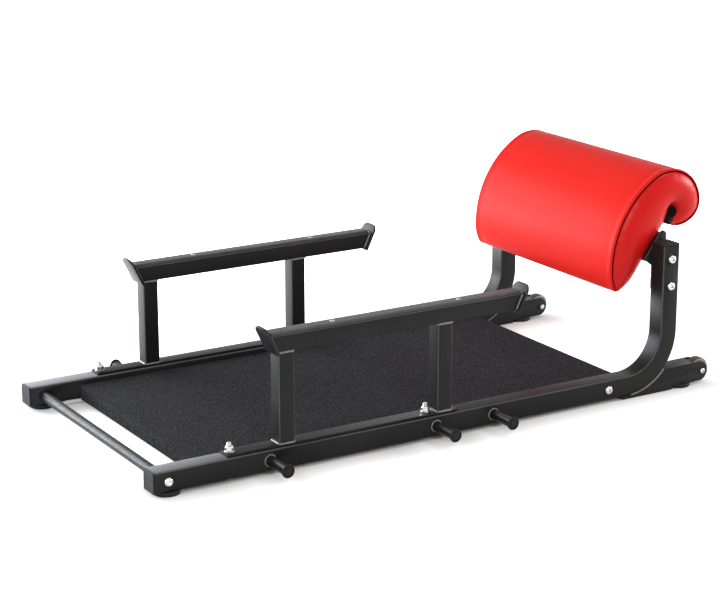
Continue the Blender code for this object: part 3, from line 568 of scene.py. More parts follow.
@dataclass(frozen=True)
class PowderCoat(Finish):
    """Satin black powder coat with fine orange peel and a little dust."""

    clouds: Pattern = Pattern(9.0, 4.0)
    shades: Pairs = ((0.3, 0.8), (0.7, 1.25))
    wear: Pattern = Pattern(140.0, 5.0, 0.6)
    gloss: Pair = (-0.05, 0.07)
    reliefs: Reliefs = ((Pattern(620.0, 2.0), 0.04, 0.4),)
    ior: float = 1.25


@dataclass(frozen=True)
class Vinyl(Finish):
    """Soft vinyl with a fine pebbled grain and faint creases."""

    clouds: Pattern = Pattern(14.0, 5.0, 0.55)
    shades: Pairs = ((0.25, 0.95), (0.75, 1.03))
    wear: Pattern = Pattern(60.0, 4.0, 0.6)
    gloss: Pair = (-0.04, 0.06)
    reliefs: Reliefs = (
        (Pattern(950.0, cells="F1"), 0.05, 0.35), (Pattern(260.0, 3.0, 0.6), 0.08, 0.25),
        (Pattern(24.0, 2.0), 0.5, 0.2))
    ior: float = 1.12


@dataclass(frozen=True)
class CrumbRubber(Finish):
    """Pressed rubber crumb: fine grains of uneven grey."""

    clouds: Pattern = Pattern(320.0, 6.0, 0.8)
    shades: Pairs = ((0.37, 0.3), (0.5, 1.0), (0.61, 3.9))
    wear: Pattern = Pattern(320.0, 6.0, 0.8)
    gloss: Pair = (0.0, 0.12)
    reliefs: Reliefs = (
        (Pattern(416.0, cells="F1"), 1.6, 0.7), (Pattern(800.0, 4.0, 0.7), 0.6, 0.6))
    ior: float = 1.12


@dataclass(frozen=True)
class Moulded(Finish):
    """Moulded plastic or rubber with a fine, even grain."""

    clouds: Pattern = Pattern(40.0, 4.0)
    shades: Pairs = ((0.3, 0.82), (0.7, 1.2))
    wear: Pattern = Pattern(90.0, 5.0, 0.65)
    gloss: Pair = (-0.06, 0.08)
    reliefs: Reliefs = ((Pattern(1500.0, 2.0), 0.03, 0.6),)
    ior: float = 1.46


@dataclass(frozen=True)
class BrightSteel(Finish):
    """Zinc-plated or stainless steel with faint turning marks."""

    clouds: Pattern = Pattern(220.0, 4.0)
    shades: Pairs = ((0.3, 0.85), (0.7, 1.08))
    wear: Pattern = Pattern(220.0, 4.0)
    gloss: Pair = (-0.06, 0.1)
    reliefs: Reliefs = ((Pattern(1800.0, 2.0), 0.01, 0.4),)
    metallic: float = 1.0


@dataclass(frozen=True)
class Cloth(Finish):
    """Woven black backing cloth."""

    clouds: Pattern = Pattern(900.0, cells="DISTANCE_TO_EDGE")
    shades: Pairs = ((0.05, 0.5), (0.3, 1.4))
    wear: Pattern = Pattern(50.0)
    gloss: Pair = (0.0, 0.08)
    reliefs: Reliefs = ((Pattern(900.0, cells="DISTANCE_TO_EDGE"), 0.15, 0.6),)
    ior: float = 1.45


@dataclass(frozen=True)
class Plywood(Finish):
    """Birch plywood with long grain."""

    clouds: Pattern = Pattern(60.0, 5.0, 0.6, stretch=(1.0, 0.06, 1.0))
    shades: Pairs = ((0.3, 0.7), (0.7, 1.15))
    wear: Pattern = Pattern(60.0, 5.0, 0.6, stretch=(1.0, 0.06, 1.0))
    gloss: Pair = (0.0, 0.15)
    reliefs: Reliefs = (
        (Pattern(60.0, 5.0, 0.6, stretch=(1.0, 0.06, 1.0)), 0.1, 0.5),)


FRAME_COAT = PowderCoat("satin_powder_coat", "frame", (0.0088, 0.0089, 0.0092), 0.37)
# A lighter coat on rounded edges: painted highlights.
EDGE_HIGHLIGHT_COAT = PowderCoat("edge_worn_coat", "frame", (0.060, 0.058, 0.056), 0.34, ior=1.27)
# Coated weld beads in a light grey: painted glints.
WELD_GLINT_COAT = PowderCoat("coated_weld", "frame", (0.18, 0.173, 0.165), 0.26, ior=1.42,
                       reliefs=((Pattern(900.0, 2.0), 0.04, 0.4),))
CAP_PLASTIC = Moulded("cap_plastic", "plastic", (0.013, 0.0135, 0.0145), 0.44, ior=1.24)
STRIP_PLASTIC = Moulded("slide_plastic", "strip", (0.045, 0.045, 0.046), 0.42, ior=1.4)
STEEL = BrightSteel("bright_steel", "steel", (0.58, 0.57, 0.54), 0.2)
MAT_RUBBER = CrumbRubber("crumb_rubber", "mat", (0.0190, 0.0186, 0.0202), 0.85)
FOOT_RUBBER = Moulded("foot_rubber", "rubber", (0.012, 0.012, 0.012), 0.6, ior=1.3)
TYRE = Moulded("wheel_tyre", "wheel", (0.060, 0.036, 0.024), 0.42, ior=1.35)
HUB = Moulded("wheel_core", "wheel", (0.30, 0.30, 0.29), 0.3)
RED_VINYL = Vinyl("red_vinyl", "cushion", (0.66, 0.019, 0.014), 0.37)
# The end panels' vinyl is darker than the body's red: painted shade.
SHADED_PANEL_VINYL = Vinyl("panel_vinyl", "cushion", (0.60, 0.009, 0.008), 0.33, ior=1.25)
SEAM_VINYL = Vinyl("seam_shadow_vinyl", "cushion", (0.075, 0.003, 0.004), 0.7)
# Black backing cloth, which also paints shade on the end panels at the lip's end.
BACKING_AND_SHADE = Cloth("backing_cloth", "cushion", (0.006, 0.006, 0.006), 0.9)
BOARD = Plywood("board_plywood", "board", (0.42, 0.27, 0.14), 0.65)


def finished(piece: Piece, *finishes: Finish) -> Piece:
    """Give a piece the materials of some finishes, and no others.

    Args:
        piece: The piece.
        finishes: The finishes, in the order of their numbers.

    Returns:
        The piece.
    """
    piece.data.materials.clear()
    for finish in finishes:
        piece.data.materials.append(finish.material())
    return piece


def worn(piece: Piece, test: Callable[[Vector], bool]) -> Piece:
    """Paint highlights on the rounded edges of a coated piece, in a lighter coat.

    Args:
        piece: The piece.
        test: Says from a face's normal whether it gets the painted highlight.

    Returns:
        The piece.
    """
    finished(piece, FRAME_COAT, EDGE_HIGHLIGHT_COAT)
    for face in piece.data.polygons:
        face.material_index = int(test(face.normal))
    return piece


def rounded(share: float, low: float = 0.35, high: float = 0.93) -> bool:
    """Whether a face that leans by a share of its normal lies on a rounded edge."""
    return low < abs(share) < high


def upper_edge(normal: Vector) -> bool:
    """Whether a face lies on the rounding of an upper edge."""
    return normal.z > 0 and rounded(normal.z)


def dress(piece: Piece, finish: Finish, body: str = "bench", replaces: Sequence[str] = ()) -> None:
    """Give a finished piece its material and body, hide the nodes that it stands for, and report it.

    Args:
        piece: The piece, in the frame's place, which keeps the materials that it has.
        finish: Its finish.
        body: The body that it rides on.
        replaces: The nodes that it stands for.
    """
    if not piece.data.materials:
        finished(piece, finish)
    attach(piece, body)
    if replaces:
        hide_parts(*replaces)
    LOG.info("%s: %d faces", piece.name, len(piece.data.polygons))


def both_sides(piece: Piece, name: str, finish: Finish, nodes: Sequence[str] = (),
               body: str = "bench") -> None:
    """Dress a left piece and its mirror image.

    Args:
        piece: The piece on the left side.
        name: The pieces' name, without its side.
        finish: Their finish.
        nodes: The nodes that they stand for, without their side.
        body: The body, where {} stands for the side.
    """
    mirror = copied(piece, f"{name}_{Side.RIGHT.value}", Matrix.Diagonal((1.0, -1.0, 1.0, 1.0)))
    piece.name = piece.data.name = f"{name}_{Side.LEFT.value}"
    for side, one in ((Side.LEFT, piece), (Side.RIGHT, mirror)):
        dress(one, finish, body.format(side.value), [f"{node}_{side.value}" for node in nodes])


@dataclass(frozen=True)
class Bead:
    """A rippled weld bead, turned once and laid along every joint of its length."""

    radius: float = 2.6
    ripple: float = 1.8
    end: float = 0.4
    valley: float = 0.84
    crest: Triple = (1.018, 1.16, 1.018)
    ring_steps: int = 72

    def straight(self, start: Vector, end: Vector) -> Piece:
        """Lay a bead from one point to another.

        Args:
            start: Its start, in metres.
            end: Its end.

        Returns:
            The bead.
        """
        length = (end - start).length / MM
        count = max(3, round(length / self.ripple))
        profile = [(self.radius * self.end, 0.0)]
        for index in range(count):
            middle = (index + 0.5) * length / count
            profile.append((self.radius * (1.0 if index % 2 else self.valley), middle))
        profile.append((self.radius * self.end, length))
        return turned("bead", start, (end - start).normalized(), profile, 8, BEAD_ANGLE)

    def ring(self, centre: Vector, radius: float) -> Piece:
        """Lay a bead round a tube that comes out of a face to the left.

        Args:
            centre: The tube's middle at the face, in metres.
            radius: The tube's radius in millimetres.

        Returns:
            The bead.
        """
        bpy.ops.mesh.primitive_torus_add(
            location=centre, rotation=(math.pi / 2, 0, 0), major_segments=self.ring_steps, minor_segments=8,
            major_radius=radius * MM, minor_radius=self.radius * MM)
        work = Workpiece("bead")

        def on_crest(vertex: bmesh.types.BMVert) -> bool:
            """Whether a vertex lies on every second step round the tube."""
            way = vertex.co - centre
            return round(math.atan2(way.z, way.x) / math.tau * self.ring_steps) % 2 == 0

        work.pick(Element.VERT, on_crest)
        bpy.ops.transform.resize(value=self.crest, center_override=centre)
        return work.done(BEAD_ANGLE)


@dataclass
class SideRails:
    """Two square tubes bent up into uprights, with the ledges that carry the mat."""

    size: float = 50.0
    wall: float = 3.0
    corner: float = 4.0
    bend_start: float = 1313.0
    bend_radius: float = 125.0
    bend_steps: int = 36
    top: float = 371.0
    # Shares of the normal that mark the upper rounded edges painted with highlights.
    worn_span: Pair = (0.4, 0.92)
    ledge: Pair = (75.0, 1225.0)
    ledge_y: Pair = (-331.0, -313.0)
    ledge_depth: float = 4.0
    ledge_edge: float = 0.7
    bead: Bead = Bead(1.6, 3.0)
    stitch: Pair = (90.0, 120.0)
    stitch_level: float = -0.4
    stitch_moves: tuple[float, ...] = (270.0, 540.0, 810.0, 1080.0)

    def tube(self) -> Piece:
        """Extrude, spin and extrude a rounded square into the bent tube.

        Returns:
            The tube.
        """
        bpy.ops.mesh.primitive_plane_add(
            size=self.size * MM, location=at(0, -RAIL_Y, self.size / 2), rotation=(0, -math.pi / 2, 0))
        work = Workpiece("side_tube")
        work.pick(Element.VERT, bool).bevel(self.corner, 5, "VERTICES")
        bpy.ops.mesh.select_mode(type="EDGE")
        bpy.ops.mesh.select_all(action="SELECT")
        bpy.ops.mesh.delete(type="ONLY_FACE")
        bpy.ops.mesh.select_all(action="SELECT")
        work.extrude(Vector((self.bend_start * MM, 0, 0)))
        centre = at(self.bend_start, -RAIL_Y, self.size / 2 + self.bend_radius)
        bpy.ops.mesh.spin(steps=self.bend_steps, angle=math.pi / 2, center=centre, axis=(0, 1, 0))
        work.pick(Element.EDGE, lambda edge: all(abs(v.co.z - centre.z) < SAME_PLACE for v in edge.verts))
        work.extrude(Vector((0, 0, at(0, 0, self.top).z - centre.z)))
        bpy.ops.mesh.select_all(action="SELECT")
        bpy.ops.mesh.remove_doubles(threshold=SAME_PLACE)
        piece = work.done()
        apply_modifier(piece, "SOLIDIFY", thickness=self.wall * MM, offset=-1.0)
        return piece

    def ledge_bar(self) -> Piece:
        """The flat bar under the tube's inner edge.

        Returns:
            The bar.
        """
        low, high = self.ledge
        near, far = self.ledge_y
        work = Workpiece.block("ledge", (low, near, -self.ledge_depth), (high, far, 0))
        return work.pick_creases().bevel(self.ledge_edge, 2).done()

    def stitches(self) -> list[Piece]:
        """Short beads that hold the ledge to the tube.

        Returns:
            The beads.
        """
        start, end = (at(x, -RAIL_Y + self.size / 2, self.stitch_level) for x in self.stitch)
        first = self.bead.straight(start, end)
        return [first] + [moved(first, x=move) for move in self.stitch_moves]

    def build(self) -> None:
        """Make and dress both rails."""
        tube = worn(self.tube(), lambda way: rounded(way.y, *self.worn_span) and way.z > way.x)
        piece = joined([tube, self.ledge_bar(), *self.stitches()], "side_tube_left")
        both_sides(piece, "side_tube", FRAME_COAT, ["side_rail"])


@dataclass
class TubeCaps:
    """Plastic caps in the open ends of the rails and uprights."""

    size: float = 50.0
    corner: float = 4.0
    rim: float = 1.1
    gap: float = 0.8
    gap_inset: float = 1.2
    field_inset: float = 1.6
    field_step: float = 0.5
    foot_x: Pair = (-4.5, 0.0)
    upright_x: float = 1438.0
    top: Pair = (371.0, 375.0)

    def cap(self, x: Pair, z: Pair, out: Axis) -> Piece:
        """Shape a cap on the left rail.

        Args:
            x: Its ends along the bench.
            z: Its underside and its top.
            out: The way that its face looks.

        Returns:
            The cap.
        """
        way = out.vector()
        work = Workpiece.bar("cap", x, self.size, z).pick_facing(-way)
        bpy.ops.transform.translate(value=tuple(way * self.gap * MM))
        work.pick_edges_along(way).bevel(self.corner, 5)
        work.pick_creases(1.0, lambda edge: all(face.normal.dot(way) > -0.5 for face in edge.link_faces))
        work.bevel(self.rim).pick_facing(-way).inset(self.gap_inset).extrude(-way * self.gap * MM)
        work.pick_facing(way).inset(self.field_inset).inset(self.field_step, -self.field_step)
        return work.done()

    def build(self) -> None:
        """Make and dress the four caps."""
        foot = self.cap(self.foot_x, (0, self.size), Axis.FOOTWARD)
        both_sides(foot, "foot_end_cap", CAP_PLASTIC, ["rail_end_cap"])
        ends = (self.upright_x - self.size / 2, self.upright_x + self.size / 2)
        both_sides(self.cap(ends, self.top, Axis.Z), "upright_top_cap", CAP_PLASTIC, ["upright_cap"])


def socket_screw(start: Vector, axis: Vector, rings: Sequence[Pair], socket: Triple,
                 steps: int = 36) -> Piece:
    """Turn a screw and cut the hexagon socket in its head.

    Args:
        start: The point on its axis that heights count from.
        axis: Its axis, towards its head.
        rings: Radius and height of its rings.
        socket: The socket's radius at its corners, its floor and a height above the head.
        steps: How many corners a ring has.

    Returns:
        The screw.
    """
    radius, bottom, top = socket
    piece = turned("screw", start, axis, rings, steps)
    return cut(piece, turned("socket", start, axis, [(radius, bottom), (radius, top)], 6))


def hexagon_nut(start: Vector, axis: Vector, width: float, height: float, top: float) -> Piece:
    """A lock nut with chamfered corners and a round collar on its far side.

    Args:
        start: The point on its axis that levels count from.
        axis: Its axis, towards the face that it is tightened against.
        width: Its width over flats.
        height: Its height.
        top: The level of its tightened face.

    Returns:
        The nut.
    """
    corner = width / math.sqrt(3)
    piece = turned("nut", start, axis, [(corner, top - height * NUT_BODY), (corner, top)], 6)
    chamfer = [(width * share, top - height * level) for share, level in NUT_FLATS]
    chamfer += [(corner * share, top - height * level) for share, level in NUT_CORNERS]
    chamfer.append((width * NUT_FACE[0], top + NUT_FACE[1]))
    cut(piece, turned("chamfer", start, axis, chamfer), "INTERSECT")
    collar = [(width * share, top - height * level) for share, level in NUT_COLLAR]
    return joined([piece, turned("collar", start, axis, collar)], "nut")


@dataclass(frozen=True)
class Screw:
    """A button-head screw from the left rail's outer face inwards; its nut has a width, height and level."""

    length: float
    nut: Triple | None = None
    shaft: float = 12.0
    head: float = 22.0
    height: float = 6.6
    socket: float = 8.0
    depth: float = 3.6
    rim_share: float = 0.12
    flat_share: float = 0.26
    socket_corner: float = 0.577
    dome_steps: int = 8

    def rings(self) -> list[Pair]:
        """Radius and height of the rings from the shaft's tip to the head's flat.

        Returns:
            The rings.
        """
        shaft, half = self.shaft / 2, self.head / 2
        rim, flat = self.height * self.rim_share, self.head * self.flat_share
        rings = [(shaft - 1, -self.length), (shaft, 1 - self.length), (shaft, 0.05), (half - 0.3, 0.05),
                 (half, 0.35), (half, rim)]
        for step in range(1, self.dome_steps + 1):
            angle = step / self.dome_steps * math.pi / 2
            rings.append((flat + (half - flat) * math.cos(angle),
                          rim + (self.height - rim) * math.sin(angle)))
        return rings

    def build(self, x: float, z: float) -> Piece:
        """Make the screw.

        Args:
            x: Its place along the bench.
            z: Its height.

        Returns:
            The screw.
        """
        start, left = at(x, RAIL_FACE, z), Axis.LEFTWARD.vector()
        socket = (self.socket * self.socket_corner, self.height - self.depth, self.height + 2)
        piece = socket_screw(start, left, self.rings(), socket)
        return joined([piece, hexagon_nut(start, left, *self.nut)], "screw") if self.nut else piece


@dataclass
class CrossMembers:
    """The round tube at the foot end, the strap under the mat, and the screws that hold both."""

    tube_x: float = 32.5
    strap_x: float = 1251.0
    height: float = 25.0
    tube_radius: float = 12.7
    chamfer: float = 0.6
    reach: float = 322.7
    screw_lengths: Pair = (75.0, 54.0)

    def tube(self) -> Piece:
        """The cross tube, with a slight chamfer where it meets the rails.

        Returns:
            The tube.
        """
        radius, reach = self.tube_radius, self.reach
        inner, edge = radius - self.chamfer, reach - self.chamfer
        rings = [(inner, -reach), (radius, -edge), (radius, edge), (inner, reach)]
        return turned("cross_tube", at(self.tube_x, 0, self.height), Axis.Y.vector(), rings, 64)

    def build(self) -> None:
        """Make and dress the members."""
        dress(self.tube(), FRAME_COAT, replaces=["foot_cross_tube"])
        finished(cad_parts["head_cross_strap"], FRAME_COAT)
        for name, x, length in zip(("foot", "head"), (self.tube_x, self.strap_x), self.screw_lengths):
            screw = Screw(length).build(x, self.height)
            both_sides(screw, f"{name}_cross_screw", STEEL, [f"{name}_cross_bolt"])


@dataclass
class FloorMat:
    """The thick rubber mat between the rails."""

    low: Triple = (127.5, -318.0, 0.3)
    high: Triple = (1321.5, 318.0, 37.7)
    corner: float = 8.0
    edge: float = 2.6

    def build(self) -> None:
        """Make and dress the mat."""
        work = Workpiece.block("rubber_mat", self.low, self.high)
        work.pick_edges_along(Axis.Z.vector()).bevel(self.corner, 6)
        level = (at(*self.low).z + at(*self.high).z) / 2
        work.pick_creases(1.0, lambda edge: abs(middle_of(edge).z - level) > 0.01).bevel(self.edge, 4)
        dress(work.done(), MAT_RUBBER, replaces=["floor_mat"])


@dataclass
class RestStand:
    """A bar rest: base bar, two posts, a beam with sloping end plates and its wear strip."""

    start: float = 182.0
    bar: Triple = (618.0, 39.0, 6.0)
    bar_low: float = 50.3
    bar_corner: float = 1.5
    bar_edge: float = 0.8
    post_x: Pair = (335.5, 763.4)
    post_size: float = 40.0
    post_corner: float = 3.0
    post_low: float = 56.2
    post_gap: float = 0.2
    beam_x: float = 640.0
    beam_low: float = 273.8
    beam_half: float = 326.6
    beam_size: float = 40.0
    slope: float = math.radians(26)
    plate: Triple = (60.0, 72.0, 6.0)
    plate_drop: float = 3.0
    plate_corner: float = 20.0
    plate_edge: float = 0.9
    strip: Pair = (32.0, 6.7)
    strip_edge: float = 1.5
    strip_end_gap: float = 7.0
    screw_x: Pair = (467.0, 812.0)
    screw_rings: Pairs = ((2.0, -6.0), (2.0, -3.5), (5.2, -0.3), (5.6, 0.0), (5.4, 0.35), (4.8, 0.5))
    screw_socket: Triple = (2.3, -2.0, 2.0)
    coarse: Bead = Bead(3.4, 3.0)
    fine: Bead = Bead(2.8, 2.8)
    bolt_x: Pair = (196.7, 721.0)
    bolt_level: float = 56.0
    thread: Triple = (6.0, 5.35, 1.75)
    thread_turns: int = 12
    root_rise: float = 0.85
    shank: float = 5.8
    bolt_tip: float = 77.6
    bolt_end: Pairs = ((5.4, 0.3), (4.9, 0.9))
    bolt_head: Pairs = ((9.4, -6.8), (10.39, -6.2), (10.39, -0.3))
    washer: Pairs = ((11.6, 0.3), (12.0, 0.6), (12.0, 2.5), (11.6, 2.8))
    nut_size: Triple = (19.0, 12.0, -2.8)

    def beam_end(self, height: float) -> float:
        """Half the beam's length at a height over its underside."""
        return self.beam_half + height * math.tan(self.slope)

    def base_bar(self) -> Piece:
        """The flat bar that the posts stand on.

        Returns:
            The bar.
        """
        length, width, thickness = self.bar
        levels = (self.bar_low, self.bar_low - CLEARANCE + thickness)
        work = Workpiece.bar("base_bar", (self.start, self.start + length), width, levels)
        work.pick_edges_along(Axis.Z.vector()).bevel(self.bar_corner)
        return work.pick_creases(1.0).bevel(self.bar_edge, 2).done()

    def post(self) -> Piece:
        """The post nearer to the foot end.

        Returns:
            The post.
        """
        half, x = self.post_size / 2, self.post_x[0]
        levels = (self.post_low, self.beam_low - self.post_gap)
        work = Workpiece.bar("post", (x - half, x + half), self.post_size, levels)
        piece = work.pick_edges_along(Axis.Z.vector()).bevel(self.post_corner, 5).done()
        return worn(piece, lambda way: rounded(way.x))

    def beam(self) -> Piece:
        """The beam, cut sloping at both ends.

        Returns:
            The beam.
        """
        reach = self.beam_end(self.beam_size) + 10
        work = Workpiece.bar("beam", (self.beam_x - reach, self.beam_x + reach), self.beam_size,
                             (self.beam_low, self.beam_low + self.beam_size))
        work.pick_edges_along(Axis.X.vector()).bevel(self.post_corner, 5)
        for end in (-1, 1):
            point = at(self.beam_x + end * self.beam_half, -RAIL_Y, self.beam_low)
            work.bisect(point, Vector((end * math.cos(self.slope), 0, -math.sin(self.slope))))
        return worn(work.done(), upper_edge)

    def end_plate(self) -> Piece:
        """The plate on the beam's end towards the pad.

        Returns:
            The plate.
        """
        width, length, thickness = self.plate
        low = -self.plate_drop / math.cos(self.slope)
        first, second = (CLEARANCE, -width / 2, low), (CLEARANCE + thickness, width / 2, low + length)
        work = Workpiece.block("end_plate", first, second)
        top = at(0, 0, low + length).z
        work.pick(Element.EDGE, lambda edge: runs_along(edge, Axis.X.vector())
                  and abs(middle_of(edge).z - top) < SAME_PLACE).bevel(self.plate_corner, 12)
        piece = work.pick_creases(1.0).bevel(self.plate_edge).done()
        place = Matrix.Translation(at(self.beam_x + self.beam_half, -RAIL_Y, self.beam_low))
        piece.data.transform(place @ Matrix.Rotation(self.slope, 4, "Y") @ Matrix.Translation(-at(0, 0, 0)))
        return worn(piece, self.on_plate_edge)

    def on_plate_edge(self, normal: Vector) -> bool:
        """Whether a face of an end plate lies on one of its rounded edges."""
        return rounded(normal.x * math.cos(self.slope) - normal.z * math.sin(self.slope))

    def wear_strip(self) -> Piece:
        """The plastic strip on the beam, with a softly rounded top.

        Returns:
            The strip.
        """
        width, thickness = self.strip
        half = self.beam_end(self.beam_size) - self.strip_end_gap
        bottom = self.beam_low + self.beam_size + CLEARANCE
        ends = (self.beam_x - half, self.beam_x + half)
        work = Workpiece.bar("strip", ends, width, (bottom, bottom + thickness))
        top = at(0, 0, bottom + thickness).z
        work.pick(Element.EDGE, lambda edge: abs(middle_of(edge).z - top) < SAME_PLACE)
        return work.bevel(self.strip_edge, 4).done()

    def strip_screws(self) -> Piece:
        """The countersunk screws in the wear strip.

        Returns:
            The screws as one piece.
        """
        top = self.beam_low + self.beam_size + CLEARANCE + self.strip[1]
        first, second = self.screw_x
        screw = socket_screw(at(first, -RAIL_Y, top), Axis.Z.vector(), self.screw_rings, self.screw_socket)
        return joined([screw, moved(screw, x=second - first)], "strip_screws")

    def welds(self) -> Piece:
        """The beads at the feet and heads of the posts and at the end plates.

        Returns:
            The beads as one piece.
        """
        half, x = self.post_size / 2, self.post_x[0]
        level, head, inner = self.post_low + 0.6, self.beam_low - 0.6, half - 1.0
        feet = [self.coarse.straight(at(u, -v - RAIL_Y, level), at(u, v - RAIL_Y, level))
                for u, v in ((x - half, inner), (x + half, -inner))]
        for inset, height in ((0.4, level), (0.2, self.beam_low - 0.8)):
            y = -RAIL_Y - half + inset
            side = self.fine.straight(at(x - inner, y, height), at(x + inner, y, height))
            feet += [side, moved(side, y=2 * (half - inset))]
        feet += [self.fine.straight(at(u, -inner - RAIL_Y, head), at(u, inner - RAIL_Y, head))
                 for u in (x - half, x + half)]
        feet.append(joined([moved(one, x=self.post_x[1] - x) for one in feet], "bead"))
        return joined(feet + self.plate_welds(), "stand_welds")

    def plate_welds(self) -> list[Piece]:
        """The beads round the beam's ends, against the plates.

        Returns:
            The beads.
        """
        side, size = self.beam_size / 2, self.beam_size
        runs = (((2 - side, size + 0.2), (side - 2, size + 0.2)), ((-side, 2), (-side, size - 2)),
                ((side, 2), (side, size - 2)), ((2 - side, -0.2), (side - 2, -0.2)))
        made = []
        for end in (-1, 1):
            for run in runs:
                start, stop = (at(self.beam_x + end * (self.beam_end(z) - 0.8), y - RAIL_Y, self.beam_low + z)
                               for y, z in run)
                made.append(self.fine.straight(start, stop))
        return made

    def bolt(self) -> Piece:
        """The hexagon bolt that comes up through the rail, with threads at its tip.

        Returns:
            The bolt.
        """
        start, up = at(self.bolt_x[0], -RAIL_Y, 0), Axis.Z.vector()
        crest, root, pitch = self.thread
        rings = [(self.shank, -1.0), (self.shank, self.bolt_level)]
        for turn in range(self.thread_turns):
            low = self.bolt_level + 1 + turn * pitch
            rings += [(crest, low), (root, low + self.root_rise)]
        rings = [ring for ring in rings if ring[1] < self.bolt_tip]
        rings += [(radius, self.bolt_tip + rise) for radius, rise in self.bolt_end]
        head = turned("head", start, up, self.bolt_head, 6)
        return joined([turned("stand_bolt", start, up, rings, 32), head], "stand_bolt")

    def nut(self) -> Piece:
        """The washer and lock nut on the bolt.

        Returns:
            The nut.
        """
        start, up = at(self.bolt_x[0], -RAIL_Y, self.bolt_level), Axis.Z.vector()
        washer = turned("washer", start, up, self.washer, 48)
        return joined([washer, hexagon_nut(start, -up, *self.nut_size)], "stand_nut")

    def build(self) -> None:
        """Make and dress both stands."""
        both_sides(self.base_bar(), "stand_bar", FRAME_COAT, ["stand_base_bar"])
        post = self.post()
        rear = moved(post, x=self.post_x[1] - self.post_x[0])
        both_sides(post, "front_post", FRAME_COAT, ["stand_post_front"])
        both_sides(rear, "rear_post", FRAME_COAT, ["stand_post_rear"])
        both_sides(self.beam(), "beam", FRAME_COAT, ["rest_beam"])
        plate = self.end_plate()
        turn = Matrix.Translation(Vector((2 * at(self.beam_x, 0, 0).x, 0, 0)))
        front = copied(plate, "plate_front", turn @ Matrix.Diagonal((-1.0, 1.0, 1.0, 1.0)))
        both_sides(front, "front_end_plate", FRAME_COAT, ["beam_end_plate_front"])
        both_sides(plate, "rear_end_plate", FRAME_COAT, ["beam_end_plate_rear"])
        both_sides(self.wear_strip(), "slide_strip", STRIP_PLASTIC, ["wear_strip"])
        both_sides(self.strip_screws(), "strip_screws", STEEL)
        both_sides(self.welds(), "stand_welds", WELD_GLINT_COAT)
        for piece, name, node in ((self.bolt(), "bolt", "stand_bolt"), (self.nut(), "lock_nut", "stand_nut")):
            rear = moved(piece, x=self.bolt_x[1] - self.bolt_x[0])
            both_sides(piece, f"front_stand_{name}", STEEL, [f"{node}_front"])
            both_sides(rear, f"rear_stand_{name}", STEEL, [f"{node}_rear"])


@dataclass
class BandPegs:
    """Three round pegs on each rail's outer face, each with a flanged cap."""

    places: tuple[tuple[str, float], ...] = (("front", 288.5), ("middle", 737.5), ("rear", 902.0))
    height: float = 25.0
    radius: float = 12.7
    length: float = 79.0
    cap: Pairs = (
        (15.2, 0.0), (15.8, 0.3), (16.0, 0.9), (16.0, 2.9), (15.8, 3.5), (15.2, 3.9), (14.4, 4.0),
        (13.8, 3.8), (13.5, 3.3), (13.3, 2.0), (10.6, 1.9), (10.2, 2.1), (10.0, 2.8), (9.5, 3.1), (3.0, 3.1))
    bead: Bead = Bead(1.7)

    def build(self) -> None:
        """Make and dress the pegs with their weld beads."""
        first, radius, end = self.places[0][1], self.radius, self.length
        start = at(first, RAIL_FACE, self.height)
        rings = [(radius - 0.4, 0.3), (radius, 0.7), (radius, end - 0.6), (radius + 0.2, end)]
        rings += [(ring, end + level) for ring, level in self.cap]
        peg = turned("peg", start, Axis.LEFTWARD.vector(), rings, 56)
        bead = self.bead.ring(start, radius + 0.8)
        for name, x in self.places:
            both_sides(moved(peg, x=x - first), f"{name}_peg", FRAME_COAT, [f"band_peg_{name}"])
            both_sides(moved(bead, x=x - first), f"{name}_peg_weld", WELD_GLINT_COAT)
        for spare in (peg, bead):
            bpy.data.objects.remove(spare)


def refined(node: str, edge: float, crease: float = math.radians(40)) -> Piece:
    """A merged copy of a node with its edges softly rounded.

    Args:
        node: The node.
        edge: The rounding's width in millimetres.
        crease: The angle above which an edge is rounded.

    Returns:
        The piece.
    """
    piece = finished(copied(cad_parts[node], "refined", Matrix.Identity(4)))
    activate(piece)
    bpy.ops.object.mode_set(mode="EDIT")
    bpy.ops.mesh.select_all(action="SELECT")
    bpy.ops.mesh.remove_doubles(threshold=SAME_PLACE)
    bpy.ops.mesh.dissolve_limited(angle_limit=math.radians(0.5))
    bpy.ops.object.mode_set(mode="OBJECT")
    apply_modifier(piece, "BEVEL", width=edge * MM, segments=2, limit_method="ANGLE", angle_limit=crease,
                   use_clamp_overlap=True)
    activate(piece)
    bpy.ops.object.shade_smooth_by_angle(angle=crease)
    return piece


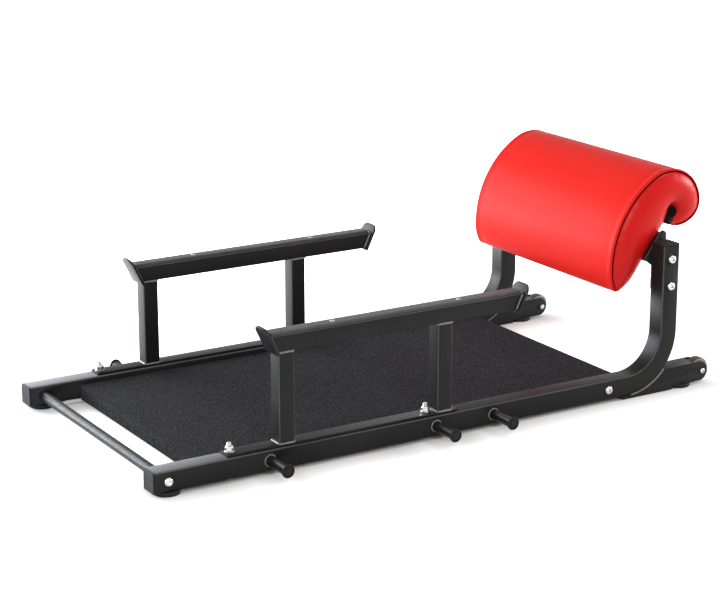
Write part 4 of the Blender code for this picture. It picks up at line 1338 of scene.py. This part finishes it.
@dataclass
class RunningGear:
    """Wheel arms, wheels, their axles and the rubber feet.

    A wheel's profiles run from its left side to its middle, and its right side mirrors them.
    """

    axle_x: float = 1554.0
    height: float = 25.0
    tyre: Pairs = (
        (26.6, -9.0), (27.6, -10.4), (28.4, -10.8), (29.4, -10.5), (30.3, -9.4), (30.8, -7.4), (31.0, -4.0))
    core: Pairs = (
        (8.2, -21.7), (8.9, -21.1), (9.2, -11.0), (10.4, -9.8), (20.6, -9.2), (22.6, -9.8), (23.4, -11.6),
        (24.4, -12.0), (26.6, -12.0), (27.5, -11.5), (27.9, -10.2))
    axle: Screw = Screw(58.0, (13.0, 7.0, -50.3), 8.0, 14.0, 4.4, 5.0, 2.4)
    feet_x: tuple[tuple[str, float], ...] = (("front", 39.0), ("rear", 1495.0))
    foot: Pairs = (
        (27.0, -10.0), (29.6, -9.8), (30.7, -9.2), (31.0, -8.2), (31.0, -6.9), (30.5, -6.5), (30.5, -6.0),
        (31.0, -5.6), (31.0, -1.9), (30.6, -0.9), (29.6, -0.4), (20.0, -0.3))
    arm_edge: float = 1.6
    arm_half: float = 25.0
    cope: Triple = (1313.0, 150.0, 150.3)
    cope_angles: Pair = (-41.7, -86.0)
    cope_steps: int = 16
    bead: Bead = Bead(2.4, 2.6)

    def cope_weld(self) -> Piece:
        """The beads where the arm meets the bend, on both sides and across its top.

        Returns:
            The beads as one piece.
        """
        x, z, radius = self.cope
        first, last = self.cope_angles
        line = arc((x, z), radius, math.radians(first), math.radians(last - first), self.cope_steps)
        inset = self.arm_half - 0.2
        points = [at(u, -RAIL_Y - inset, w) for u, w in line]
        side = joined([self.bead.straight(*pair) for pair in zip(points, points[1:])], "bead")
        u, w = line[0]
        across = self.bead.straight(*(at(u + 0.5, y - RAIL_Y, w + 0.4) for y in (-inset, inset)))
        return joined([side, moved(side, y=2 * inset), across], "arm_weld")

    def wheel_part(self, name: str, side: Sequence[Pair], middle: Sequence[Pair], steps: int) -> Piece:
        """Turn a part of the wheel from the rings of its left side and of its middle."""
        rings = [*side, *middle, *((radius, -level) for radius, level in reversed(side))]
        return turned(name, at(self.axle_x, -RAIL_Y, self.height), Axis.Y.vector(), rings, steps)

    def build(self) -> None:
        """Make and dress the running gear."""
        arm = worn(refined("wheel_arm_left", self.arm_edge), upper_edge)
        both_sides(arm, "rear_arm", FRAME_COAT, ["wheel_arm"])
        both_sides(self.cope_weld(), "arm_weld", WELD_GLINT_COAT)
        tyre = self.wheel_part("tyre", self.tyre, [(self.tyre[-1][0], 0.0)], 72)
        both_sides(tyre, "tyre", TYRE, ["transport_wheel"], "wheel_{}")
        both_sides(self.wheel_part("core", self.core, (), 64), "wheel_core", HUB, body="wheel_{}")
        both_sides(self.axle.build(self.axle_x, self.height), "axle_screw", STEEL, ["wheel_bolt"])
        first = self.feet_x[0][1]
        foot = turned("foot", at(first, -RAIL_Y, 0), Axis.Z.vector(), self.foot, 64)
        for name, x in self.feet_x:
            both_sides(moved(foot, x=x - first), f"{name}_foot", FOOT_RUBBER, [f"rubber_foot_{name}"])
        bpy.data.objects.remove(foot)


@dataclass
class PadSection:
    """The pad's section: a chain of tangent arcs from the foot of its flat back round to its lip."""

    back_top: Pair = (1472.3, 407.7)
    back_angle: float = math.radians(53.7)
    back_length: float = 151.6
    arcs: Pairs = (
        (103.3, 34.1), (7.6, 73.5), (91.0, 33.2), (252.4, 63.5), (103.3, 63.6), (96.4, 46.3), (54.8, 66.9),
        (81.5, 51.6))
    notch: Triple = (24.5, 28.5, 15.8)
    notch_ends: Pair = (-95.0, 122.0)
    nose_steps: int = 6
    slot_width: float = 12.0
    lip_drop: float = 20.0
    lip_edge: Pair = (1490.0, 403.0)
    lip_slope: float = 0.76
    lip_top: float = 428.0
    lip_share: float = 0.3

    def back_point(self, along: float, behind: float) -> Pair:
        """A point by its distance down the back and behind it.

        Args:
            along: Distance down the back from its top.
            behind: Distance behind the back.

        Returns:
            X and Z.
        """
        cosine, sine = math.cos(self.back_angle), math.sin(self.back_angle)
        x, z = self.back_top
        return (x - along * cosine + behind * sine, z - along * sine - behind * cosine)

    def past_back(self, spot: Vector) -> float:
        """How far a point lies past the back's plane, as a share from 0 to 1 that ends in the slot.

        Args:
            spot: The point's X and Z.

        Returns:
            The share.
        """
        behind = ((spot.x - self.back_top[0]) * math.sin(self.back_angle)
                  - (spot.y - self.back_top[1]) * math.cos(self.back_angle))
        above = spot.y > self.back_top[1] - self.lip_drop
        return min(1.0, max(0.0, behind / self.slot_width)) if above else 0.0

    def under_lip(self, spot: Vector) -> bool:
        """Whether a point lies on the end of the lip beside the slot's mouth, which is black: backing cloth
        along the pad, and painted shade on the end panels.

        Args:
            spot: The point's X and Z.

        Returns:
            True if it does.
        """
        x, z = self.lip_edge
        inside = self.past_back(spot) > self.lip_share and spot.y < self.lip_top
        return inside and spot.x - x < (spot.y - z) * self.lip_slope

    def outer(self, step: float) -> list[Pair]:
        """Points from the foot of the back up the front and over to the lip.

        Args:
            step: The distance between points.

        Returns:
            The points.
        """
        facing = self.back_angle - math.pi / 2
        points = [self.back_point(self.back_length, 0)]
        for radius, degrees in self.arcs:
            turn = math.radians(degrees)
            x, z = points[-1]
            centre = (x - radius * math.cos(facing), z - radius * math.sin(facing))
            points += arc(centre, radius, facing, -turn, max(4, round(radius * turn / step)))[1:]
            facing -= turn
        return points

    def inner(self, step: float, lip: Pair) -> list[Pair]:
        """Points round the lip's nose, through the notch and down the back.

        Args:
            step: The distance between points.
            lip: Where the outer side ends.

        Returns:
            The points, without those that outer gives.
        """
        behind, above, radius = self.notch
        centre = (self.back_top[0] + behind, self.back_top[1] + above)
        start, end = (math.radians(angle) for angle in self.notch_ends)
        notch = arc(centre, radius, start, end - start, round(radius * (end - start) / step))
        middle = ((lip[0] + notch[0][0]) / 2, (lip[1] + notch[0][1]) / 2)
        base = math.atan2(lip[1] - middle[1], lip[0] - middle[0])
        points = arc(middle, math.dist(lip, notch[0]) / 2, base, -math.pi, self.nose_steps)[1:-1] + notch
        corners = [notch[-1], self.back_top, self.back_point(self.back_length, 0)]
        for first, second in zip(corners, corners[1:]):
            count = max(1, round(math.dist(first, second) / step))
            for index in range(1, count + 1):
                share = index / count
                points.append(tuple(a + (b - a) * share for a, b in zip(first, second)))
        return points[:-1]


@dataclass
class Cushion:
    """The pad's cushion: a full vinyl form with a welted rim and a crowned end panel on either side.

    The rim, turn and groove are rings by their distance back from the end panel's edge and their inset.
    """

    section: PadSection = field(default_factory=PadSection)
    step: float = 4.0
    half: float = 300.0
    crown: float = 16.5
    crown_power: float = 0.8
    crown_spread: float = 26.0
    panel_step: float = 5.0
    panel_gap: float = 0.75
    panel_row: float = 0.866
    panel_passes: int = 220
    back_round: float = 17.0
    slot_round: float = 5.0
    round_angle: float = math.radians(52)
    room_share: float = 0.9
    body_rings: int = 22
    body_end: float = 60.0
    toe_points: int = 16
    fade_points: int = 5
    seam_least: float = 0.4
    rim: Pairs = (
        (60.0, 0.0), (48.0, 0.2), (38.0, 0.5), (30.0, 0.9), (25.0, 1.2), (21.0, 1.3), (17.0, 1.1),
        (14.0, 0.7), (11.0, 0.2), (8.5, -0.2), (6.5, -0.3))
    turn: Pairs = ((5.0, -0.2), (3.7, 0.2), (2.6, 0.9), (1.7, 1.9), (1.0, 3.1), (0.6, 4.4))
    groove: Pairs = ((1.8, 5.1), (5.0, 5.8), (6.4, 7.8), (5.2, 9.8), (1.6, 11.2))
    swell: Triple = (0.4, 2.2, 2.5)
    swell_way: Pair = (0.5, 0.866)
    swell_from: float = 1480.0
    swell_length: float = 100.0

    def rings(self) -> list[Triple]:
        """The rings from the middle of the pad to the edge of its end panel.

        Returns:
            For each, inset and level of a point on the seam, and for a point on the back how far its rounding
            has turned, from 0 to 1.
        """
        rings = [(0.0, (self.half - self.body_end) * index / self.body_rings, 0.0)
                 for index in range(self.body_rings)]
        rings += [(inset, self.half - back, 0.0) for back, inset in self.rim]
        turning = self.turn + self.groove
        return rings + [(inset, self.half - back, index / len(turning))
                        for index, (back, inset) in enumerate(turning, 1)]

    def finish_index(self, ring: int, share: float, on_back: bool, spot: Vector) -> int:
        """The material of the faces between a ring and the next.

        Args:
            ring: The ring's number from the middle of the pad.
            share: How much of the seam the faces have.
            on_back: Whether they lie on the back or in the slot.
            spot: A point of theirs in the section.

        Returns:
            A number in the order of the pad's finishes: vinyl, seam shadow, backing (also painted shade at
            the lip's end), end panel (a darker red, painted shade).
        """
        body = self.body_rings + len(self.rim)
        groove = body + len(self.turn)
        panel = groove + len(self.groove) - 1
        if self.section.under_lip(spot):
            return 2
        if share > self.seam_least and groove <= ring < panel:
            return 1
        if on_back and ring < body + 2:
            return 2
        return 3 if ring >= panel else 0

    def rooms(self, points: Sequence[Vector], normals: Sequence[Vector]) -> list[float]:
        """How far each point may move in.

        Args:
            points: The outline.
            normals: Its inward normals.

        Returns:
            A share of the largest circle's radius inside the outline at each point.
        """
        rooms = []
        for start, normal in zip(points, normals):
            offsets = [point - start for point in points]
            rooms.append(self.room_share * min(offset.length_squared / (2 * offset.dot(normal))
                                               for offset in offsets if offset.dot(normal) > 1e-6))
        return rooms

    def normals(self, points: Sequence[Vector]) -> list[Vector]:
        """Unit normals into the outline.

        Args:
            points: The outline, clockwise.

        Returns:
            A normal for each point.
        """
        found = []
        for before, point, after in zip([points[-1], *points], points, [*points[1:], points[0]]):
            heading = ((point - before).normalized() + (after - point).normalized()).normalized()
            found.append(Vector((heading.y, -heading.x)))
        return found

    def membrane(self, edge: Sequence[Vector]) -> tuple[list[Vector], list[list[int]], list[float]]:
        """Fill an outline with an even net and blow it up like a skin over foam.

        Args:
            edge: The outline.

        Returns:
            The net's points, the outline's first, its triangles, and how far each point rises, from 0 to 1.
        """
        step, points = self.panel_step, list(edge)
        low = Vector((min(spot.x for spot in edge), min(spot.y for spot in edge)))
        high = Vector((max(spot.x for spot in edge), max(spot.y for spot in edge)))
        row, y = 0, low.y
        while y < high.y:
            x = low.x + (step / 2 if row % 2 else 0.0)
            while x < high.x:
                spot = Vector((x, y))
                nearest = min((spot - other).length for other in edge)
                if self.encloses(edge, spot) and nearest > self.panel_gap * step:
                    points.append(spot)
                x += step
            row, y = row + 1, y + step * self.panel_row
        found = geometry.delaunay_2d_cdt(points, [], [list(range(len(edge)))], 1, 1e-4)
        origins = [origin[0] for origin in found[3]]
        triangles = [[origins[index] for index in face] for face in found[2]]
        near = {index: set() for index in range(len(edge), len(points))}
        for triangle in triangles:
            for index in triangle:
                if index in near:
                    near[index].update(triangle)
        rises = [0.0] * len(points)
        hold = step ** 2 / (4 * self.crown_spread ** 2)
        for _ in range(self.panel_passes):
            for index, others in near.items():
                total = sum(rises[other] for other in others) - rises[index]
                rises[index] = (total / (len(others) - 1) + hold) / (1 + hold)
        most = max(rises)
        return points, triangles, [(rise / most) ** self.crown_power for rise in rises]

    def encloses(self, edge: Sequence[Vector], spot: Vector) -> bool:
        """Whether an outline encloses a point.

        Args:
            edge: The outline.
            spot: The point.

        Returns:
            True if it does.
        """
        inside = False
        for first, second in zip(edge, [*edge[1:], edge[0]]):
            if (first.y > spot.y) != (second.y > spot.y):
                if spot.x < first.x + (spot.y - first.y) * (second.x - first.x) / (second.y - first.y):
                    inside = not inside
        return inside

    def seam_share(self, index: int, seamed_count: int) -> float:
        """How much of the seam a point of the section has.

        Args:
            index: The point's number, from the foot of the back.
            seamed_count: How many points the outer side has.

        Returns:
            From 0 on the back, the toe's underside and the slot to 1 on the outer side.
        """
        if index >= seamed_count:
            return 0.0
        fade = self.fade_points
        share = min(1.0, max(0.0, min((index - self.toe_points) / fade, (seamed_count - 2 - index) / fade)))
        return share * share * (3 - 2 * share)

    def swollen(self, point: Vector, normal: Vector) -> float:
        """How far the full cushion stands out at a point of its section.

        Args:
            point: The point.
            normal: The normal into the section.

        Returns:
            The distance in millimetres.
        """
        least, more, low = self.swell
        share = min(1.0, max(0.0, (self.swell_from - point.x) / self.swell_length))
        return least + share * (more + low * normal.dot(Vector(self.swell_way)))

    def lines(self, points: Sequence[Vector], seam: Sequence[float], seamed_count: int
              ) -> list[list[tuple[Vector, float]]]:
        """Place every ring of the right half.

        Args:
            points: The section's outline.
            seam: How much of the seam each point has.
            seamed_count: How many points the outer side has.

        Returns:
            For each ring, where its points lie in the section and how far from the pad's middle.
        """
        normals = self.normals(points)
        rooms = self.rooms(points, normals)
        rounds = [self.back_round + (self.slot_round - self.back_round) * self.section.past_back(point)
                  if index > seamed_count + 2 else self.back_round for index, point in enumerate(points)]
        base = self.half - self.groove[-1][0]
        lines = []
        for seam_inset, seam_level, turned_share in self.rings():
            angle = turned_share * self.round_angle
            line = []
            for point, normal, room, share, radius in zip(points, normals, rooms, seam, rounds):
                level = min(seam_level, base - radius * (math.sin(self.round_angle) - math.sin(angle)))
                inset = radius * (1 - math.cos(angle))
                inset += (seam_inset - inset) * share
                level += (seam_level - level) * share
                inset = inset * room / (inset + room) - self.swollen(point, normal) * share
                line.append((point + normal * inset, level))
            lines.append(line)
        return lines

    def build_mesh(self) -> Piece:
        """Loft the cushion ring by ring.

        Returns:
            The object, with its materials numbered face by face.
        """
        outer = self.section.outer(self.step)
        points = [Vector(point) for point in outer + self.section.inner(self.step, outer[-1])]
        count, seamed_count = len(points), len(outer)
        seam = [self.seam_share(index, seamed_count) for index in range(count)]
        right = self.lines(points, seam, seamed_count)
        base = self.half - self.groove[-1][0]
        shape = bmesh.new()
        rings = [[shape.verts.new(at(spot.x, sign * level, spot.y)) for spot, level in line]
                 for sign, lines in ((-1, right[:0:-1]), (1, right)) for line in lines]
        middle = len(right) - 1
        for number, (first, second) in enumerate(zip(rings, rings[1:])):
            ring = number - middle if number >= middle else middle - 1 - number
            for index in range(count):
                after = (index + 1) % count
                face = shape.faces.new((first[index], first[after], second[after], second[index]))
                spot = (right[ring][index][0] + right[ring][after][0]) / 2
                face.material_index = self.finish_index(ring, seam[index], index > seamed_count, spot)
        spots, triangles, rises = self.membrane([spot for spot, _ in right[-1]])
        for sign, edge in ((-1, rings[0]), (1, rings[-1])):
            corners = edge + [shape.verts.new(at(spot.x, sign * (base + self.crown * rise), spot.y))
                              for spot, rise in zip(spots[count:], rises[count:])]
            for triangle in triangles:
                face = shape.faces.new([corners[index] for index in triangle])
                spot = sum((spots[index] for index in triangle), Vector((0.0, 0.0))) / 3
                # Black at the lip's end on the end panel: painted shade.
                face.material_index = 2 if self.section.under_lip(spot) else 3
        bmesh.ops.recalc_face_normals(shape, faces=shape.faces)
        for face in shape.faces:
            face.smooth = True
        mesh = bpy.data.meshes.new("cushion_form")
        shape.to_mesh(mesh)
        shape.free()
        return added("cushion_form", mesh)

    def build(self) -> None:
        """Make and dress the cushion."""
        piece = self.build_mesh()
        for finish in (RED_VINYL, SEAM_VINYL, BACKING_AND_SHADE, SHADED_PANEL_VINYL):
            piece.data.materials.append(finish.material())
        dress(piece, RED_VINYL, replaces=["pad_cushion"])


@dataclass
class PadMount:
    """The board in the pad's back and the brackets that carry it."""

    section: PadSection = field(default_factory=PadSection)
    flange_face: float = 4.3
    screw_along: Pair = (42.0, 88.0)
    screw_y: float = -294.0
    screw_rings: Pairs = (
        (3.0, -3.0), (3.0, 0.05), (6.2, 0.1), (6.6, 0.7), (6.4, 2.0), (5.2, 3.2), (3.4, 3.8))
    screw_socket: Triple = (2.3, 1.6, 6.0)
    bracket_edge: float = 0.7
    # Normal limits for the bracket's faces that get painted highlights.
    worn_side: float = 0.92
    worn_back: float = -0.3
    bolts: tuple[tuple[str, float], ...] = (("lower", 266.7), ("upper", 336.3))
    bolt_x: float = 1438.0
    bolt: Screw = Screw(67.6, (19.0, 12.0, -54.6))

    def flange_screws(self) -> Piece:
        """Two pan-head screws through the bracket's flange into the board.

        Returns:
            The screws as one piece.
        """
        out = Vector((math.sin(self.section.back_angle), 0, -math.cos(self.section.back_angle)))
        made = []
        for along in self.screw_along:
            x, z = self.section.back_point(along, self.flange_face)
            made.append(socket_screw(at(x, self.screw_y, z), out, self.screw_rings, self.screw_socket, 32))
        return joined(made, "flange_screws")

    def build(self) -> None:
        """Make and dress the pad's mount."""
        finished(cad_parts["pad_board"], BOARD)
        bracket = refined("pad_bracket_left", self.bracket_edge)
        worn(bracket, lambda way: abs(way.y) < self.worn_side and way.x < self.worn_back)
        both_sides(bracket, "bracket_angle", FRAME_COAT, ["pad_bracket"])
        both_sides(self.flange_screws(), "flange_screws", STEEL)
        for name, height in self.bolts:
            screw = self.bolt.build(self.bolt_x, height)
            both_sides(screw, f"{name}_bracket_screw", STEEL, [f"bracket_bolt_{name}"])


@dataclass(frozen=True)
class Lamp:
    """A soft lamp: where it hangs and its width and height in metres, its power in watts and its colour."""

    name: str
    place: Triple
    size: Pair
    power: float
    colour: Triple


@dataclass
class Studio:
    """A pale floor, plain soft light and the camera.

    The floor glows by its distance from the rails, in metres, and by how far behind the bench it lies. It
    glows least beside the rails, which paints shade along them over their real shadow, and more behind the
    bench, where the glow is painted light in the frame's reflections. A glow is the range of that distance
    and the range of its strength.
    """

    width: int = 728
    focal_pixels: float = 2048.54
    azimuth: float = math.radians(-31.497)
    elevation: float = math.radians(15.938)
    aim: Triple = (760.6, -6.2, 242.4)
    distance: float = 5104.2
    fill: float = 0.26
    lit_spot: Triple = (0.1, 0.0, 0.2)
    lamps: tuple[Lamp, ...] = (
        Lamp("left_lamp", (-3.6, -0.6, 1.7), (2.4, 2.4), 78.0, (0.98, 0.98, 0.98)),
        Lamp("back_lamp", (-1.7, 2.7, 1.3), (2.8, 1.5), 116.0, (0.88, 0.94, 1.0)),
        Lamp("low_lamp", (-1.6, 2.2, 0.32), (2.4, 0.6), 66.0, (0.82, 0.91, 1.0)),
        Lamp("top_lamp", (1.5, -0.9, 2.8), (0.7, 0.7), 16.0, (1.0, 0.95, 0.88)),
        Lamp("front_lamp", (-0.75, -2.8, 1.7), (0.8, 0.8), 30.0, (1.0, 0.97, 0.92)),
        Lamp("right_lamp", (3.25, -1.05, 0.98), (1.2, 0.7), 60.0, (1.0, 1.0, 1.0)))
    floor_size: float = 80.0
    floor_colour: tuple[float, ...] = (0.86, 0.86, 0.86, 1.0)
    floor_roughness: float = 0.9
    floor_gloss: float = 0.1
    plot: Pair = (0.77, 0.03)
    near_glow: tuple[Pair, Pair] = ((0.0, 0.11), (0.02, 0.64))
    far_glow: tuple[Pair, Pair] = ((0.11, 2.6), (0.0, 0.3))
    rear_glow: tuple[Pair, Pair] = ((0.5, 0.9), (0.0, 1.1))

    def camera(self) -> None:
        """Set up the camera at the photograph's angle."""
        back = Vector((math.sin(self.azimuth) * math.cos(self.elevation),
                       -math.cos(self.azimuth) * math.cos(self.elevation), math.sin(self.elevation)))
        lens = bpy.data.cameras.new("camera")
        lens.sensor_width = 36.0
        lens.lens = self.focal_pixels * lens.sensor_width / self.width
        camera = added("camera", lens)
        camera.location = at(*self.aim) + back * self.distance * MM
        camera.rotation_euler = back.to_track_quat("Z", "Y").to_euler()
        bpy.context.scene.camera = camera

    def hang(self, lamp: Lamp) -> None:
        """Hang a soft lamp that points at the bench.

        Args:
            lamp: The lamp.
        """
        light = bpy.data.lights.new(lamp.name, "AREA")
        light.energy, light.color, light.shape = lamp.power, lamp.colour, "RECTANGLE"
        light.size, light.size_y = lamp.size
        holder = added(lamp.name, light)
        holder.location = lamp.place
        back = Vector(lamp.place) - Vector(self.lit_spot)
        holder.rotation_euler = back.to_track_quat("Z", "Y").to_euler()

    def backdrop(self) -> None:
        """A white world for the camera and for mirrored light, with a softer fill on the object."""
        world = bpy.data.worlds.new("studio")
        bpy.context.scene.world = world
        world.use_nodes = True
        graph = Graph(world.node_tree)
        level = graph.spread(graph.seen(), self.fill, 1.0, 0.0, 1.0)
        graph.feed(graph.tree.nodes["Background"], Color=WHITE, Strength=level)

    def floor(self) -> None:
        """A wide white floor that keeps the bench's shadow and stays white far away."""
        bpy.ops.mesh.primitive_plane_add(size=self.floor_size, location=(0, 0, 0))
        floor = bpy.context.view_layer.objects.active
        floor.name = "studio_floor"
        shader = Shader("white_floor", Base_Color=self.floor_colour, Roughness=self.floor_roughness,
                        Specular_IOR_Level=self.floor_gloss, Emission_Color=WHITE)
        spot, none = shader.place, (0.0, 0.0)
        for operation, amount in (("ABSOLUTE", none), ("SUBTRACT", (0.0, RAIL_Y * MM)), ("ABSOLUTE", none),
                                  ("SUBTRACT", self.plot), ("MAXIMUM", none), ("LENGTH", none)):
            step = shader.node("VectorMath", spot, (*amount, 0.0))
            step.operation = operation
            spot = step.outputs["Value" if operation == "LENGTH" else "Vector"]
        behind = shader.node("SeparateXYZ", shader.place).outputs["Y"]
        # Less glow beside the rails paints shade there; the glow behind the bench is painted light in
        # reflections.
        glows = [shader.spread(source, *strength, *reach) for source, (reach, strength) in (
            (spot, self.near_glow), (spot, self.far_glow), (behind, self.rear_glow))]
        glow = shader.combine("MULTIPLY", shader.seen(), shader.combine("ADD", *glows))
        shader.feed(shader.surface, Emission_Strength=glow)
        floor.data.materials.append(shader.material)

    def build(self) -> None:
        """Set up the studio."""
        self.camera()
        self.backdrop()
        self.floor()
        for lamp in self.lamps:
            self.hang(lamp)
        bpy.context.scene.view_settings.view_transform = "Standard"


def main() -> None:
    """Build the studio and every sub-assembly in turn."""
    logging.basicConfig(level=logging.INFO, format="%(name)s: %(message)s")
    for assembly in (Studio, SideRails, TubeCaps, CrossMembers, FloorMat, RestStand, BandPegs, RunningGear,
                     Cushion, PadMount):
        assembly().build()


if __name__ == "__main__":
    main()
